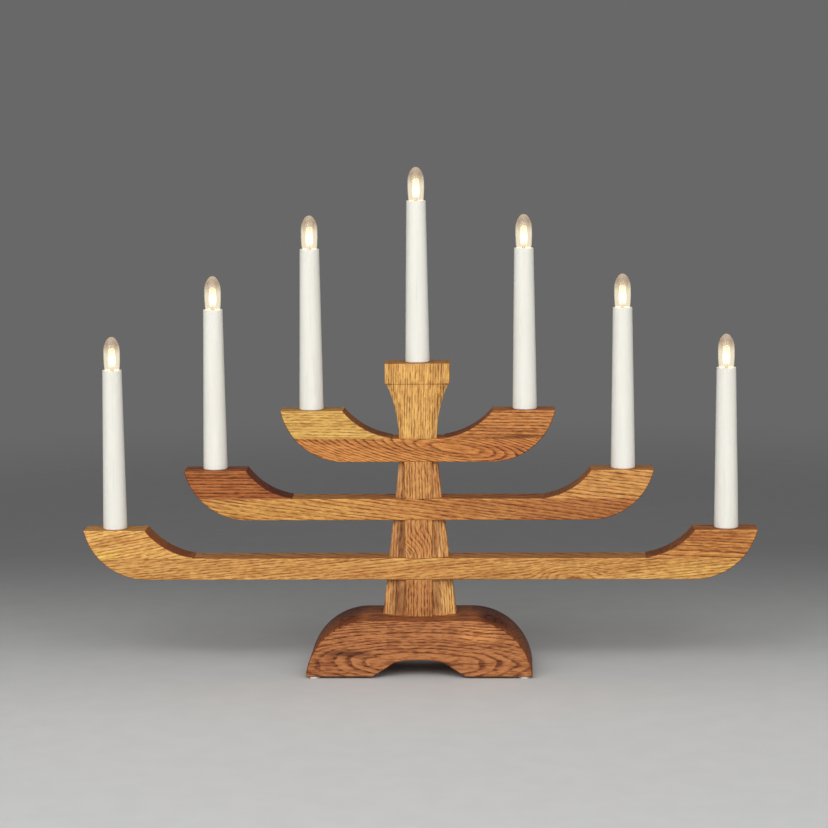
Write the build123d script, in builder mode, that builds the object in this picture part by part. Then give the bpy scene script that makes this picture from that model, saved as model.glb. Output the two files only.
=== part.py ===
"""Seven-light electric candle arch in oiled oak.

Three straight bars of growing length are half lapped into a tapering post, one above the
other. Each bar carries an end block at both ends, glued on top, and the blocks are cut to a
rising curve. A flared capital stands on the top bar. Seven tapered sleeves hold small screw
lamps: one on each end block and one on the capital.

Millimetres. X runs along the arms, Y from front to back, Z up. The origin is on the floor,
under the middle of the base.
"""

from build123d import *
import math
import os

os.makedirs("parts", exist_ok=True)

# Clearances and small working sizes
overrun = 2.0
slip_gap = 0.1
running_gap = 0.08
seat_gap = 0.3
arris = 0.5

# Foot pads
pad_radius = 5.0
pad_thickness = 1.6
pad_edge_margin = 1.5

# Base block
base_width = 182.2
base_depth = 60.0
base_height = 45.4
base_flat_width = 84.0
shoulder_radius = 65.0
arch_span = 73.6
arch_rise = 13.5
base_arris = 0.8

# Timber of the arms, the post and the capital
timber_depth = 24.0
post_core_width = 22.0
post_foot_width = 59.2
post_head_width = 30.4
side_board_setback = 3.5
side_board_ridge_share = 0.45
side_board_bevel_share = 0.6
post_foot_tenon_length = 18.0
cap_tenon_width = 16.0
cap_tenon_front = 4.0
cap_tenon_back = 8.0
cap_tenon_length = 18.0

# Arms: heights of the bars over the floor, and how far each reaches from the middle
low_bar_bottom = 77.0
low_bar_height = 17.4
low_arm_reach = 271.8
low_curve_foot = 174.0
low_block_height = 22.8
middle_bar_bottom = 125.6
middle_bar_height = 17.4
middle_arm_reach = 189.0
middle_curve_foot = 93.6
middle_block_height = 23.0
top_bar_bottom = 173.0
top_bar_height = 18.7
top_arm_reach = 110.3
top_curve_foot = 11.9
top_block_height = 22.6
end_curve_radius = 52.0
block_top_length = 50.2
block_toe_height = 0.7
candle_inset = 24.3

# Capital
capital_width = 51.8
capital_head_height = 16.3
neck_height = 44.6
neck_ledge = 0.8
neck_bevel_width = 4.5
neck_bevel_depth = 2.5
lead_chamber_height = 15.8

# Routed lead channels in the back, and the strips that close them
channel_depth = 3.9
cover_thickness = 4.2
arm_channel_height = 4.4
arm_cover_height = 7.0
arm_cover_margin = 2.1
post_channel_width = 7.8
post_channel_bottom = 50.0
post_cover_width = 14.0
lead_bore_radius = 2.9
lead_cross_hole_radius = 1.95
outlet_radius = 3.4
outlet_height = 60.0

# Leads
lead_radius = 1.45
lead_bend_radius = 2.2
lead_foot_height = 66.0
lead_seat = 3.0
post_lead_bend_radius = 3.2
post_lead_bend_height = 12.5

# Wood screw under the base
screw_radius = 2.05
screw_length = 38.0
screw_head_radius = 4.2
screw_head_height = 2.4
screw_point_length = 6.0
screw_recess_depth = 1.0
screw_slot_length = 4.6
screw_slot_width = 0.95
screw_slot_depth = 1.5

# Candle sleeve
sleeve_height = 129.8
sleeve_foot_radius = 9.75
sleeve_rim_radius = 7.8
sleeve_rim_bore_radius = 6.9
sleeve_ledge_depth = 7.6
sleeve_ledge_bore_radius = 6.45
sleeve_foot_bore_radius = 8.7
sleeve_floor = 2.2
sleeve_foot_round = 0.75
sleeve_rim_round = 0.25
spigot_radius = 4.95
spigot_length = 12.2

# Lamp holder in the top of the sleeve
holder_height = 21.8
holder_rim_radius = 6.8
holder_rim_height = 2.6
holder_body_radius = 6.35
holder_bore_radius = 5.15
holder_floor = 3.8
holder_neck_radius = 3.6
holder_neck_height = 5.4
shell_wall = 0.32
shell_recess = 0.6
contact_radius = 3.3
contact_thickness = 0.42
contact_dome_radius = 1.7
contact_dome_rise = 2.1

# Lamp: heights are over the sleeve's rim
cap_radius = 4.7
cap_wall = 0.28
cap_height = 10.4
cap_top_depth = 4.3
cap_skirt_height = 8.3
cap_cone_height = 1.35
cap_cone_radius = 2.65
cap_button_radius = 1.55
cap_floor = 1.15
glass_wall = 0.62
glass_neck_length = 4.1
glass_rim_radius = 6.3
glass_belly_radius = 6.95
glass_tip_height = 26.9
glass_nose_width_share = 0.154
glass_nose_height_share = 0.982
glass_shoulder_width_share = 0.962
glass_shoulder_height_share = 0.553
stem_foot_thickness = 0.9
stem_radius = 1.6
stem_height = 14.0
support_radius = 0.28
support_half_spread = 2.25
support_top = 10.2
filament_radius = 0.36
filament_top = 17.4
filament_bend_radius = 1.75

# Heights that follow from the sizes above
base_bottom = pad_thickness
base_top = base_bottom + base_height
arch_crown = base_bottom + arch_rise
screw_bottom = arch_crown + screw_recess_depth
screw_head_top = screw_bottom + screw_head_height
post_foot = base_top - post_foot_tenon_length
neck_bottom = top_bar_bottom + top_bar_height
cap_tenon_top = neck_bottom + cap_tenon_length
lead_chamber_top = cap_tenon_top + lead_chamber_height
capital_head_bottom = neck_bottom + neck_height
capital_top = capital_head_bottom + capital_head_height

# Places through the depth that follow from the sizes above
timber_front = -timber_depth / 2
timber_back = timber_depth / 2
cover_front = timber_back - cover_thickness
channel_front = cover_front - channel_depth
channel_middle = (cover_front + channel_front) / 2
side_board_front = timber_front + side_board_setback
cap_tenon_middle = (cap_tenon_back - cap_tenon_front) / 2
cap_tenon_depth = cap_tenon_back + cap_tenon_front


class Arm:
    """The sizes of one arm, and the places on it that other pieces follow."""

    def __init__(self, name, bottom, bar_height, block_height, reach, curve_foot):
        self.name = name
        self.bottom = bottom
        self.bar_top = bottom + bar_height
        self.top = self.bar_top + block_height
        self.reach = reach
        self.curve_foot = curve_foot
        self.candle_x = reach - candle_inset
        self.channel_z = self.bar_top - arm_cover_margin - arm_cover_height / 2
        # The outer end is an arc that leaves the bar's underside smoothly
        arc_drop = end_curve_radius - (self.top - bottom)
        self.outer_arc_x = reach - math.sqrt(end_curve_radius**2 - arc_drop**2)
        # The inner curve is an arc that leaves the bar's top smoothly
        self.block_inner_x = reach - block_top_length
        run = self.block_inner_x - curve_foot
        self.inner_radius = (run**2 + block_height**2) / (2 * block_height)
        toe_run = math.sqrt(2 * self.inner_radius * block_toe_height - block_toe_height**2)
        self.toe_x = curve_foot + toe_run


low_arm = Arm(
    "low", low_bar_bottom, low_bar_height, low_block_height, low_arm_reach, low_curve_foot
)
middle_arm = Arm(
    "middle",
    middle_bar_bottom,
    middle_bar_height,
    middle_block_height,
    middle_arm_reach,
    middle_curve_foot,
)
top_arm = Arm(
    "top", top_bar_bottom, top_bar_height, top_block_height, top_arm_reach, top_curve_foot
)
arms = [low_arm, middle_arm, top_arm]
sides = [("left", -1), ("right", 1)]

# Where the seven candles stand, from left to right: distance from the middle and height
candle_seats = [
    (-low_arm.candle_x, low_arm.top),
    (-middle_arm.candle_x, middle_arm.top),
    (-top_arm.candle_x, top_arm.top),
    (0, capital_top),
    (top_arm.candle_x, top_arm.top),
    (middle_arm.candle_x, middle_arm.top),
    (low_arm.candle_x, low_arm.top),
]


def post_half_width(height):
    """Half the post's width at a height: it tapers evenly from the base to the top bar."""
    share = (height - base_top) / (top_bar_bottom - base_top)
    return (post_foot_width + (post_head_width - post_foot_width) * share) / 2


def candle_axis(x):
    """The upright axis of the candle that stands at a distance from the middle."""
    return Axis((x, 0, 0), (0, 0, 1))


def turned_outline(points, x, height):
    """The face inside a closed outline of radius and height, upright on a candle's axis."""
    with BuildSketch(Plane(origin=(x, 0, height), x_dir=(1, 0, 0), z_dir=(0, -1, 0))) as outline:
        with BuildLine():
            Polyline(*points, close=True)
        make_face()
    return outline.sketch


def channel_outline(arm, height, distance_back):
    """A slot that runs from candle to candle along an arm, drawn behind the middle."""
    with BuildSketch(Plane.XZ.offset(-distance_back)) as outline:
        with Locations((0, arm.channel_z)):
            SlotCenterToCenter(2 * arm.candle_x, height)
    return outline.sketch


def candle_holes(places, height, radius):
    """Circles on the candles' axes at a height."""
    with BuildSketch(Plane.XY.offset(height)) as outline:
        with Locations(*[(x, 0) for x in places]):
            Circle(radius)
    return outline.sketch


# Base block: the outline from the front, pulled through the depth
shoulder_start = (base_width / 2, base_bottom)
shoulder_end = (base_flat_width / 2, base_top)
arch_start = (-arch_span / 2, base_bottom)
arch_end = (arch_span / 2, base_bottom)
with BuildPart() as base:
    with BuildSketch(Plane.XZ):
        with BuildLine():
            Line(arch_end, shoulder_start)
            RadiusArc(shoulder_start, shoulder_end, -shoulder_radius)
            Line(shoulder_end, (0, base_top))
            mirror(about=Plane.YZ)
            ThreePointArc(arch_start, (0, arch_crown), arch_end)
        make_face()
    extrude(amount=base_depth / 2, both=True)
    chamfer(base.faces().filter_by(Axis.Y).edges(), length=base_arris)
    # Mortise for the foot of the post
    with BuildSketch(Plane.XY.offset(base_top + overrun)):
        Rectangle(post_core_width, timber_depth)
    extrude(amount=-post_foot_tenon_length - overrun, mode=Mode.SUBTRACT)
    # Countersunk hole for the screw, from the crown of the arch
    screw_hole = [
        (0, base_bottom),
        (screw_head_radius + slip_gap, base_bottom),
        (screw_head_radius + slip_gap, screw_bottom),
        (screw_radius + slip_gap, screw_head_top),
        (screw_radius + slip_gap, post_foot + overrun),
        (0, post_foot + overrun),
    ]
    revolve(turned_outline(screw_hole, 0, 0), axis=candle_axis(0), mode=Mode.SUBTRACT)
base.part.label = "base"
export_step(base.part, "parts/base.step")

# Foot pads: one round pad near each corner of the base
pad_spacing_x = base_width - 2 * (pad_radius + pad_edge_margin)
pad_spacing_y = base_depth - 2 * (pad_radius + pad_edge_margin)
with BuildPart() as foot_pads:
    with BuildSketch(Plane.XY):
        with GridLocations(pad_spacing_x, pad_spacing_y, 2, 2):
            Circle(pad_radius)
    extrude(amount=pad_thickness)
foot_pads.part.label = "foot_pads"
export_step(foot_pads.part, "parts/foot_pads.step")

# Wood screw from the crown of the arch into the foot of the post
screw_top = screw_bottom + screw_length
with BuildPart() as base_screw:
    screw_outline = [
        (0, screw_bottom),
        (screw_head_radius, screw_bottom),
        (screw_radius, screw_head_top),
        (screw_radius, screw_top - screw_point_length),
        (0, screw_top),
    ]
    revolve(turned_outline(screw_outline, 0, 0), axis=candle_axis(0))
    # Cross recess in the head
    with BuildSketch(Plane.XY.offset(screw_bottom)):
        Rectangle(screw_slot_length, screw_slot_width)
        Rectangle(screw_slot_width, screw_slot_length)
    extrude(amount=screw_slot_depth, mode=Mode.SUBTRACT)
base_screw.part.label = "base_screw"
export_step(base_screw.part, "parts/base_screw.step")

# Post core: the centre board, with a tenon at both ends
with BuildPart() as post_core:
    with BuildSketch(Plane.XY.offset(base_top)):
        Rectangle(post_core_width, timber_depth)
    extrude(amount=neck_bottom - base_top)
    front_corners = post_core.edges().filter_by(Axis.Z).group_by(Axis.Y)[0]
    chamfer(front_corners, length=arris)
    with BuildSketch(Plane.XY.offset(post_foot)):
        Rectangle(post_core_width, timber_depth)
    extrude(amount=post_foot_tenon_length)
    with BuildSketch(Plane.XY.offset(neck_bottom)):
        with Locations((0, cap_tenon_middle)):
            Rectangle(cap_tenon_width, cap_tenon_depth)
    extrude(amount=cap_tenon_length)
    # Half laps in the front that take the bars, and the lead channels in the back
    for arm in arms:
        with BuildSketch(Plane.XZ):
            with BuildLine():
                Polyline(
                    (-post_core_width, arm.bottom),
                    (post_core_width, arm.bottom),
                    (post_core_width, arm.bar_top),
                    (-post_core_width, arm.bar_top),
                    close=True,
                )
            make_face()
        extrude(amount=timber_depth, mode=Mode.SUBTRACT)
        channel = channel_outline(arm, arm_channel_height, cover_front)
        extrude(channel, amount=channel_depth, mode=Mode.SUBTRACT)
        rebate = channel_outline(arm, arm_cover_height, timber_back + overrun)
        extrude(rebate, amount=cover_thickness + overrun, mode=Mode.SUBTRACT)
    with BuildSketch(Plane.XY.offset(post_channel_bottom)):
        with Locations((0, (channel_front + timber_depth) / 2)):
            Rectangle(post_channel_width, timber_depth - channel_front)
    extrude(amount=cap_tenon_top + overrun - post_channel_bottom, mode=Mode.SUBTRACT)
    with BuildSketch(Plane.XY.offset(base_top)):
        with Locations((0, (cover_front + timber_depth) / 2)):
            Rectangle(post_cover_width, timber_depth - cover_front)
    extrude(amount=neck_bottom - base_top, mode=Mode.SUBTRACT)
    # Pilot hole for the screw
    pilot_hole = [
        (0, post_foot - overrun),
        (screw_radius + slip_gap, post_foot - overrun),
        (screw_radius + slip_gap, screw_top - screw_point_length),
        (0, screw_top + seat_gap),
    ]
    revolve(turned_outline(pilot_hole, 0, 0), axis=candle_axis(0), mode=Mode.SUBTRACT)
post_core.part.label = "post_core"
export_step(post_core.part, "parts/post_core.step")

# Side boards of the post: the section shrinks evenly from the base to the top arm
for side_name, side in sides:
    with BuildPart() as side_board:
        for height in (base_top, top_bar_bottom):
            outer = post_half_width(height)
            inner = post_core_width / 2
            ridge = inner + (outer - inner) * side_board_ridge_share
            bevel_depth = (outer - ridge) * side_board_bevel_share
            with BuildSketch(Plane.XY.offset(height)):
                with BuildLine():
                    Polyline(
                        (side * inner, timber_back),
                        (side * outer, timber_back),
                        (side * outer, side_board_front + bevel_depth),
                        (side * ridge, side_board_front),
                        (side * inner, side_board_front),
                        close=True,
                    )
                make_face()
        loft(ruled=True)
        for arm in (low_arm, middle_arm):
            with BuildSketch(Plane.XZ):
                with BuildLine():
                    Polyline(
                        (0, arm.bottom),
                        (side * post_foot_width, arm.bottom),
                        (side * post_foot_width, arm.bar_top),
                        (0, arm.bar_top),
                        close=True,
                    )
                make_face()
            extrude(amount=timber_depth, mode=Mode.SUBTRACT)
            channel = channel_outline(arm, arm_channel_height, cover_front)
            extrude(channel, amount=channel_depth, mode=Mode.SUBTRACT)
            rebate = channel_outline(arm, arm_cover_height, timber_back + overrun)
            extrude(rebate, amount=cover_thickness + overrun, mode=Mode.SUBTRACT)
    side_board.part.label = f"post_{side_name}_board"
    export_step(side_board.part, f"parts/post_{side_name}_board.step")

# Arms: each is cut to its outline in one piece, then parted at the glue line into a bar and
# two end blocks
for arm in arms:
    with BuildPart() as whole_arm:
        with BuildSketch(Plane.XZ):
            with BuildLine():
                under = Line((0, arm.bottom), (arm.outer_arc_x, arm.bottom))
                TangentArc(under @ 1, (arm.reach, arm.top), tangent=(1, 0))
                Line((arm.reach, arm.top), (arm.block_inner_x, arm.top))
                foot = (arm.curve_foot, arm.bar_top)
                TangentArc(foot, (arm.block_inner_x, arm.top), tangent=(1, 0))
                Line(foot, (0, arm.bar_top))
                mirror(about=Plane.YZ)
            make_face()
            # The blocks stop at their toes, where the curve would run out to nothing
            with Locations((0, arm.bar_top)):
                Rectangle(
                    2 * arm.toe_x,
                    arm.top - arm.bar_top,
                    align=(Align.CENTER, Align.MIN),
                    mode=Mode.SUBTRACT,
                )
        extrude(amount=timber_depth / 2, both=True)
        outline_edges = whole_arm.faces().filter_by(Axis.Y).edges()
        block_edges = [e for e in outline_edges if e.bounding_box().max.Z > arm.top - arris]
        under_edges = outline_edges.group_by(Axis.Z)[0]
        chamfer(block_edges + under_edges, length=arris)
        # Arris along the top of the bar, from toe to toe
        with BuildSketch(Plane.YZ):
            with BuildLine():
                Polyline(
                    (timber_back + arris, arm.bar_top),
                    (timber_back, arm.bar_top - arris),
                    (timber_back - arris, arm.bar_top),
                    (timber_back, arm.bar_top + arris),
                    close=True,
                )
            make_face()
            mirror(about=Plane.YZ)
        extrude(amount=arm.toe_x, both=True, mode=Mode.SUBTRACT)
        # Holes for the candles' spigots, and the leads' way down to the channel
        places = (-arm.candle_x, arm.candle_x)
        spigot_holes = candle_holes(places, arm.top + overrun, spigot_radius + slip_gap)
        spigot_hole_depth = spigot_length + seat_gap + overrun
        extrude(spigot_holes, amount=-spigot_hole_depth, mode=Mode.SUBTRACT)
        lead_holes = candle_holes(places, arm.top, lead_bore_radius)
        lead_hole_depth = arm.top - arm.channel_z + arm_channel_height / 2
        extrude(lead_holes, amount=-lead_hole_depth, mode=Mode.SUBTRACT)
        with BuildSketch(Plane.XZ):
            with Locations(*[(x, arm.channel_z) for x in places]):
                Circle(lead_cross_hole_radius)
        extrude(amount=-cover_front, mode=Mode.SUBTRACT)
        # Lead channel and the rebate for its cover
        channel = channel_outline(arm, arm_channel_height, cover_front)
        extrude(channel, amount=channel_depth, mode=Mode.SUBTRACT)
        rebate = channel_outline(arm, arm_cover_height, timber_back + overrun)
        extrude(rebate, amount=cover_thickness + overrun, mode=Mode.SUBTRACT)

    # The bar is what lies under the glue line, less the half lap in the back
    lap_bottom = post_half_width(arm.bottom)
    lap_top = post_half_width(arm.bar_top)
    if arm is top_arm:
        lap_bottom = post_core_width / 2
        lap_top = lap_bottom
    with BuildPart() as bar:
        add(whole_arm.part)
        split(bisect_by=Plane.XY.offset(arm.bar_top), keep=Keep.BOTTOM)
        with BuildSketch(Plane.XZ):
            with BuildLine():
                Polyline(
                    (-lap_bottom, arm.bottom),
                    (lap_bottom, arm.bottom),
                    (lap_top, arm.bar_top),
                    (-lap_top, arm.bar_top),
                    close=True,
                )
            make_face()
        extrude(amount=-timber_depth, mode=Mode.SUBTRACT)
    bar.part.label = f"{arm.name}_bar"
    export_step(bar.part, f"parts/{arm.name}_bar.step")

    # Each end block is what lies over the glue line
    for side_name, side in sides:
        with BuildPart() as block:
            add(whole_arm.part)
            split(bisect_by=Plane.XY.offset(arm.bar_top), keep=Keep.TOP)
            split(bisect_by=Plane(origin=(0, 0, 0), z_dir=(side, 0, 0)), keep=Keep.TOP)
        block.part.label = f"{arm.name}_{side_name}_block"
        export_step(block.part, f"parts/{arm.name}_{side_name}_block.step")

    # Oak strips that close the arm's channel at the back, one on each side of the post
    with BuildPart() as covers:
        strip = channel_outline(arm, arm_cover_height, timber_back)
        extrude(strip, amount=cover_thickness)
        with BuildSketch(Plane.XZ.offset(-timber_depth)):
            with Locations((0, arm.channel_z)):
                Rectangle(post_cover_width, timber_depth)
        extrude(amount=timber_depth, mode=Mode.SUBTRACT)
    covers.part.label = f"{arm.name}_covers"
    export_step(covers.part, f"parts/{arm.name}_covers.step")

# Oak strip that closes the post's channel, with the outlet for the cord
with BuildPart() as post_cover:
    with BuildSketch(Plane.XY.offset(base_top)):
        with Locations((0, (cover_front + timber_back) / 2)):
            Rectangle(post_cover_width, cover_thickness)
    extrude(amount=neck_bottom - base_top)
    with BuildSketch(Plane.XZ):
        with Locations((0, outlet_height)):
            Circle(outlet_radius)
    extrude(amount=-timber_depth, mode=Mode.SUBTRACT)
post_cover.part.label = "post_cover"
export_step(post_cover.part, "parts/post_cover.step")

# Capital: a flared neck under a square-edged head
neck_foot_half = post_head_width / 2
neck_top_half = capital_width / 2 - neck_ledge
neck_foot_corner = (neck_foot_half, neck_bottom)
neck_top_corner = (neck_top_half, capital_head_bottom)
with BuildPart() as capital:
    with BuildSketch(Plane.XZ):
        with BuildLine():
            TangentArc(neck_foot_corner, neck_top_corner, tangent=(0, 1))
            Line(neck_foot_corner, (0, neck_bottom))
            Line(neck_top_corner, (0, capital_head_bottom))
            mirror(about=Plane.YZ)
        make_face()
    extrude(amount=timber_depth / 2, both=True)
    flares = capital.edges().filter_by(GeomType.CIRCLE).group_by(Axis.Y)[0]
    front_face = capital.faces().sort_by(Axis.Y)[0]
    chamfer(flares, length=neck_bevel_width, length2=neck_bevel_depth, reference=front_face)
    with BuildSketch(Plane.XY.offset(capital_head_bottom)):
        Rectangle(capital_width, timber_depth)
    extrude(amount=capital_head_height)
    head_corners = capital.edges().filter_by(Axis.Z).group_by(Axis.Z)[-1]
    chamfer(head_corners + capital.edges().group_by(Axis.Z)[-1], length=arris)
    # Mortise for the post's tenon, with room over it for the lead to bend
    with BuildSketch(Plane.XY.offset(neck_bottom)):
        with Locations((0, cap_tenon_middle)):
            Rectangle(cap_tenon_width + 2 * slip_gap, cap_tenon_depth + 2 * slip_gap)
    extrude(amount=lead_chamber_top - neck_bottom, mode=Mode.SUBTRACT)
    # Hole for the candle's spigot, and the lead's way down to the chamber
    spigot_hole = candle_holes([0], capital_top + overrun, spigot_radius + slip_gap)
    extrude(spigot_hole, amount=-spigot_length - seat_gap - overrun, mode=Mode.SUBTRACT)
    lead_hole = candle_holes([0], capital_top, lead_bore_radius)
    extrude(lead_hole, amount=lead_chamber_top - capital_top, mode=Mode.SUBTRACT)
capital.part.label = "capital"
export_step(capital.part, "parts/capital.step")

# Candle sleeve: heights run from the seat up to the rim
sleeve_ledge = sleeve_height - sleeve_ledge_depth
sleeve_outline = [
    (lead_bore_radius, -spigot_length),
    (spigot_radius, -spigot_length),
    (spigot_radius, 0),
    (sleeve_foot_radius - sleeve_foot_round, 0),
    (sleeve_foot_radius, sleeve_foot_round),
    (sleeve_rim_radius, sleeve_height - sleeve_rim_round),
    (sleeve_rim_radius - sleeve_rim_round, sleeve_height),
    (sleeve_rim_bore_radius + sleeve_rim_round, sleeve_height),
    (sleeve_rim_bore_radius, sleeve_height - sleeve_rim_round),
    (sleeve_rim_bore_radius, sleeve_ledge),
    (sleeve_ledge_bore_radius, sleeve_ledge),
    (sleeve_foot_bore_radius, sleeve_floor),
    (lead_bore_radius, sleeve_floor),
]

# Lamp holder: heights run from the sleeve's ledge
holder_seat = holder_rim_height - holder_height
holder_floor_bottom = holder_seat + holder_neck_height
holder_floor_top = holder_floor_bottom + holder_floor
lead_socket_radius = lead_radius + slip_gap
holder_outline = [
    (lead_socket_radius, holder_seat),
    (holder_neck_radius, holder_seat),
    (holder_neck_radius, holder_floor_bottom),
    (holder_body_radius, holder_floor_bottom),
    (holder_body_radius, 0),
    (holder_rim_radius, 0),
    (holder_rim_radius, holder_rim_height),
    (holder_bore_radius, holder_rim_height),
    (holder_bore_radius, holder_floor_top),
    (0, holder_floor_top),
    (0, holder_seat + lead_seat),
    (lead_socket_radius, holder_seat + lead_seat),
]

# Shell of the lamp holder, pressed into its bore, and the contact on its floor
shell_top = holder_rim_height - shell_recess
shell_outer = holder_bore_radius - slip_gap / 2
shell_outline = [
    (shell_outer - shell_wall, holder_floor_top),
    (shell_outer, holder_floor_top),
    (shell_outer, shell_top),
    (shell_outer - shell_wall, shell_top),
]
contact_outline = [
    (0, holder_floor_top),
    (contact_radius, holder_floor_top),
    (contact_radius, holder_floor_top + contact_thickness),
    (contact_dome_radius, holder_floor_top + contact_thickness),
    (contact_dome_radius / 2, holder_floor_top + contact_thickness + contact_dome_rise),
    (0, holder_floor_top + contact_thickness + contact_dome_rise),
]

# Lamp cap: heights run from the sleeve's rim
cap_top = -cap_top_depth
cap_skirt_bottom = cap_top - cap_skirt_height
cap_cone_bottom = cap_skirt_bottom - cap_cone_height
cap_bottom = cap_top - cap_height
cap_outline = [
    (0, cap_bottom),
    (cap_button_radius, cap_bottom),
    (cap_cone_radius, cap_cone_bottom),
    (cap_radius, cap_skirt_bottom),
    (cap_radius, cap_top),
    (cap_radius - cap_wall, cap_top),
    (cap_radius - cap_wall, cap_skirt_bottom + cap_floor),
    (0, cap_skirt_bottom + cap_floor),
]

# Filament mount: heights run from the sleeve's rim
glass_neck_radius = cap_radius - cap_wall - running_gap
glass_bottom = cap_top - glass_neck_length
stem_foot = glass_bottom - stem_foot_thickness
stem_top = glass_bottom + stem_height
stem_outline = [
    (0, stem_foot),
    (glass_neck_radius, stem_foot),
    (glass_neck_radius, glass_bottom),
    (stem_radius, glass_bottom),
    (stem_radius, stem_top),
    (0, stem_top),
]


def glass_outline(inset, x, height):
    """The face between the lamp's axis and the glass, drawn in from the outside by an inset."""
    belly = glass_belly_radius - inset
    top = glass_tip_height - inset
    nose = (belly * glass_nose_width_share, top * glass_nose_height_share)
    shoulder = (belly * glass_shoulder_width_share, top * glass_shoulder_height_share)
    rim = (glass_rim_radius - inset, 0)
    neck = (glass_neck_radius - inset, cap_top)
    neck_foot = (glass_neck_radius - inset, glass_bottom)
    with BuildSketch(Plane(origin=(x, 0, height), x_dir=(1, 0, 0), z_dir=(0, -1, 0))) as outline:
        with BuildLine():
            nose_arc = TangentArc((0, top), nose, tangent=(1, 0))
            crown_arc = TangentArc(nose, shoulder, tangent=nose_arc % 1)
            TangentArc(shoulder, rim, tangent=crown_arc % 1)
            Polyline(rim, neck, neck_foot, (0, glass_bottom), (0, top))
        make_face()
    return outline.sketch


with BuildPart() as holder_shells:
    for x, seat in candle_seats:
        shell = turned_outline(shell_outline, x, seat + sleeve_ledge)
        revolve(shell, axis=candle_axis(x))
holder_shells.part.label = "holder_shells"
export_step(holder_shells.part, "parts/holder_shells.step")

with BuildPart() as holder_contacts:
    for x, seat in candle_seats:
        contact = turned_outline(contact_outline, x, seat + sleeve_ledge)
        revolve(contact, axis=candle_axis(x))
holder_contacts.part.label = "holder_contacts"
export_step(holder_contacts.part, "parts/holder_contacts.step")

for number, (x, seat) in enumerate(candle_seats, start=1):
    rim = seat + sleeve_height

    with BuildPart() as sleeve:
        revolve(turned_outline(sleeve_outline, x, seat), axis=candle_axis(x))
    sleeve.part.label = f"sleeve_{number}"
    export_step(sleeve.part, f"parts/sleeve_{number}.step")

    with BuildPart() as holder:
        revolve(turned_outline(holder_outline, x, seat + sleeve_ledge), axis=candle_axis(x))
    holder.part.label = f"holder_{number}"
    export_step(holder.part, f"parts/holder_{number}.step")

    with BuildPart() as bulb_cap:
        revolve(turned_outline(cap_outline, x, rim), axis=candle_axis(x))
    bulb_cap.part.label = f"bulb_cap_{number}"
    export_step(bulb_cap.part, f"parts/bulb_cap_{number}.step")

    with BuildPart() as bulb_glass:
        revolve(glass_outline(0, x, rim), axis=candle_axis(x))
        revolve(glass_outline(glass_wall, x, rim), axis=candle_axis(x), mode=Mode.SUBTRACT)
    bulb_glass.part.label = f"bulb_glass_{number}"
    export_step(bulb_glass.part, f"parts/bulb_glass_{number}.step")

    # Glass stem with two support wires, and the filament bent over between them
    with BuildPart() as filament:
        revolve(turned_outline(stem_outline, x, rim), axis=candle_axis(x))
        for side_name, side in sides:
            spread = side * support_half_spread
            foot_x = x + side * stem_radius / 2
            with BuildLine():
                Line((foot_x, 0, rim + stem_top - stem_radius), (x + spread, 0, rim + support_top))
            with BuildSketch(Plane(origin=(foot_x, 0, rim + stem_top - stem_radius), z_dir=(0, 0, 1))):
                Circle(support_radius)
            sweep()
        filament_foot = rim + support_top - filament_radius
        with BuildLine():
            FilletPolyline(
                (x - support_half_spread, 0, filament_foot),
                (x - support_half_spread, 0, rim + filament_top),
                (x + support_half_spread, 0, rim + filament_top),
                (x + support_half_spread, 0, filament_foot),
                radius=filament_bend_radius,
            )
        with BuildSketch(Plane(origin=(x - support_half_spread, 0, filament_foot), z_dir=(0, 0, 1))):
            Circle(filament_radius)
        sweep()
    filament.part.label = f"filament_{number}"
    export_step(filament.part, f"parts/filament_{number}.step")

# Leads from the lamp holders on the arms to the post
lead_end_gap = lead_radius + seat_gap
holder_foot = sleeve_ledge + holder_seat + lead_seat - seat_gap
with BuildPart() as arm_leads:
    for arm in arms:
        for side_name, side in sides:
            lead_x = side * arm.candle_x
            with BuildLine():
                FilletPolyline(
                    (lead_x, 0, arm.top + holder_foot),
                    (lead_x, 0, arm.channel_z),
                    (lead_x, channel_middle, arm.channel_z),
                    (side * lead_end_gap, channel_middle, arm.channel_z),
                    radius=lead_bend_radius,
                )
            with BuildSketch(Plane(origin=(lead_x, 0, arm.top + holder_foot), z_dir=(0, 0, -1))):
                Circle(lead_radius)
            sweep()
arm_leads.part.label = "arm_leads"
export_step(arm_leads.part, "parts/arm_leads.step")

# Lead from the lamp holder on the capital down the back of the post
post_lead_top = capital_top + holder_foot
bend_top = lead_chamber_top - lead_radius
with BuildPart() as post_lead:
    with BuildLine():
        FilletPolyline(
            (0, 0, post_lead_top),
            (0, 0, bend_top),
            (0, channel_middle, bend_top - post_lead_bend_height),
            (0, channel_middle, lead_foot_height),
            radius=post_lead_bend_radius,
        )
    with BuildSketch(Plane(origin=(0, 0, post_lead_top), z_dir=(0, 0, -1))):
        Circle(lead_radius)
    sweep()
post_lead.part.label = "post_lead"
export_step(post_lead.part, "parts/post_lead.step")
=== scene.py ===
"""Looks of the seven-light electric candle arch.

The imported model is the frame. This script gives each of its nodes a finish, puts finer pieces in
place of the base block, the lamp glasses and the lamp caps, adds the lamps' glow, and sets up
the studio.

Metres, in the frame's own axes: X along the arms, Y from front to back, Z up. The sizes in a
wood finish are millimetres, because that is how a joiner reads a board.
"""

from __future__ import annotations

import logging
import math
from dataclasses import dataclass, replace
from enum import Enum
from functools import partial, reduce

import bmesh
import bpy
from mathutils import Matrix, Vector


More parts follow.
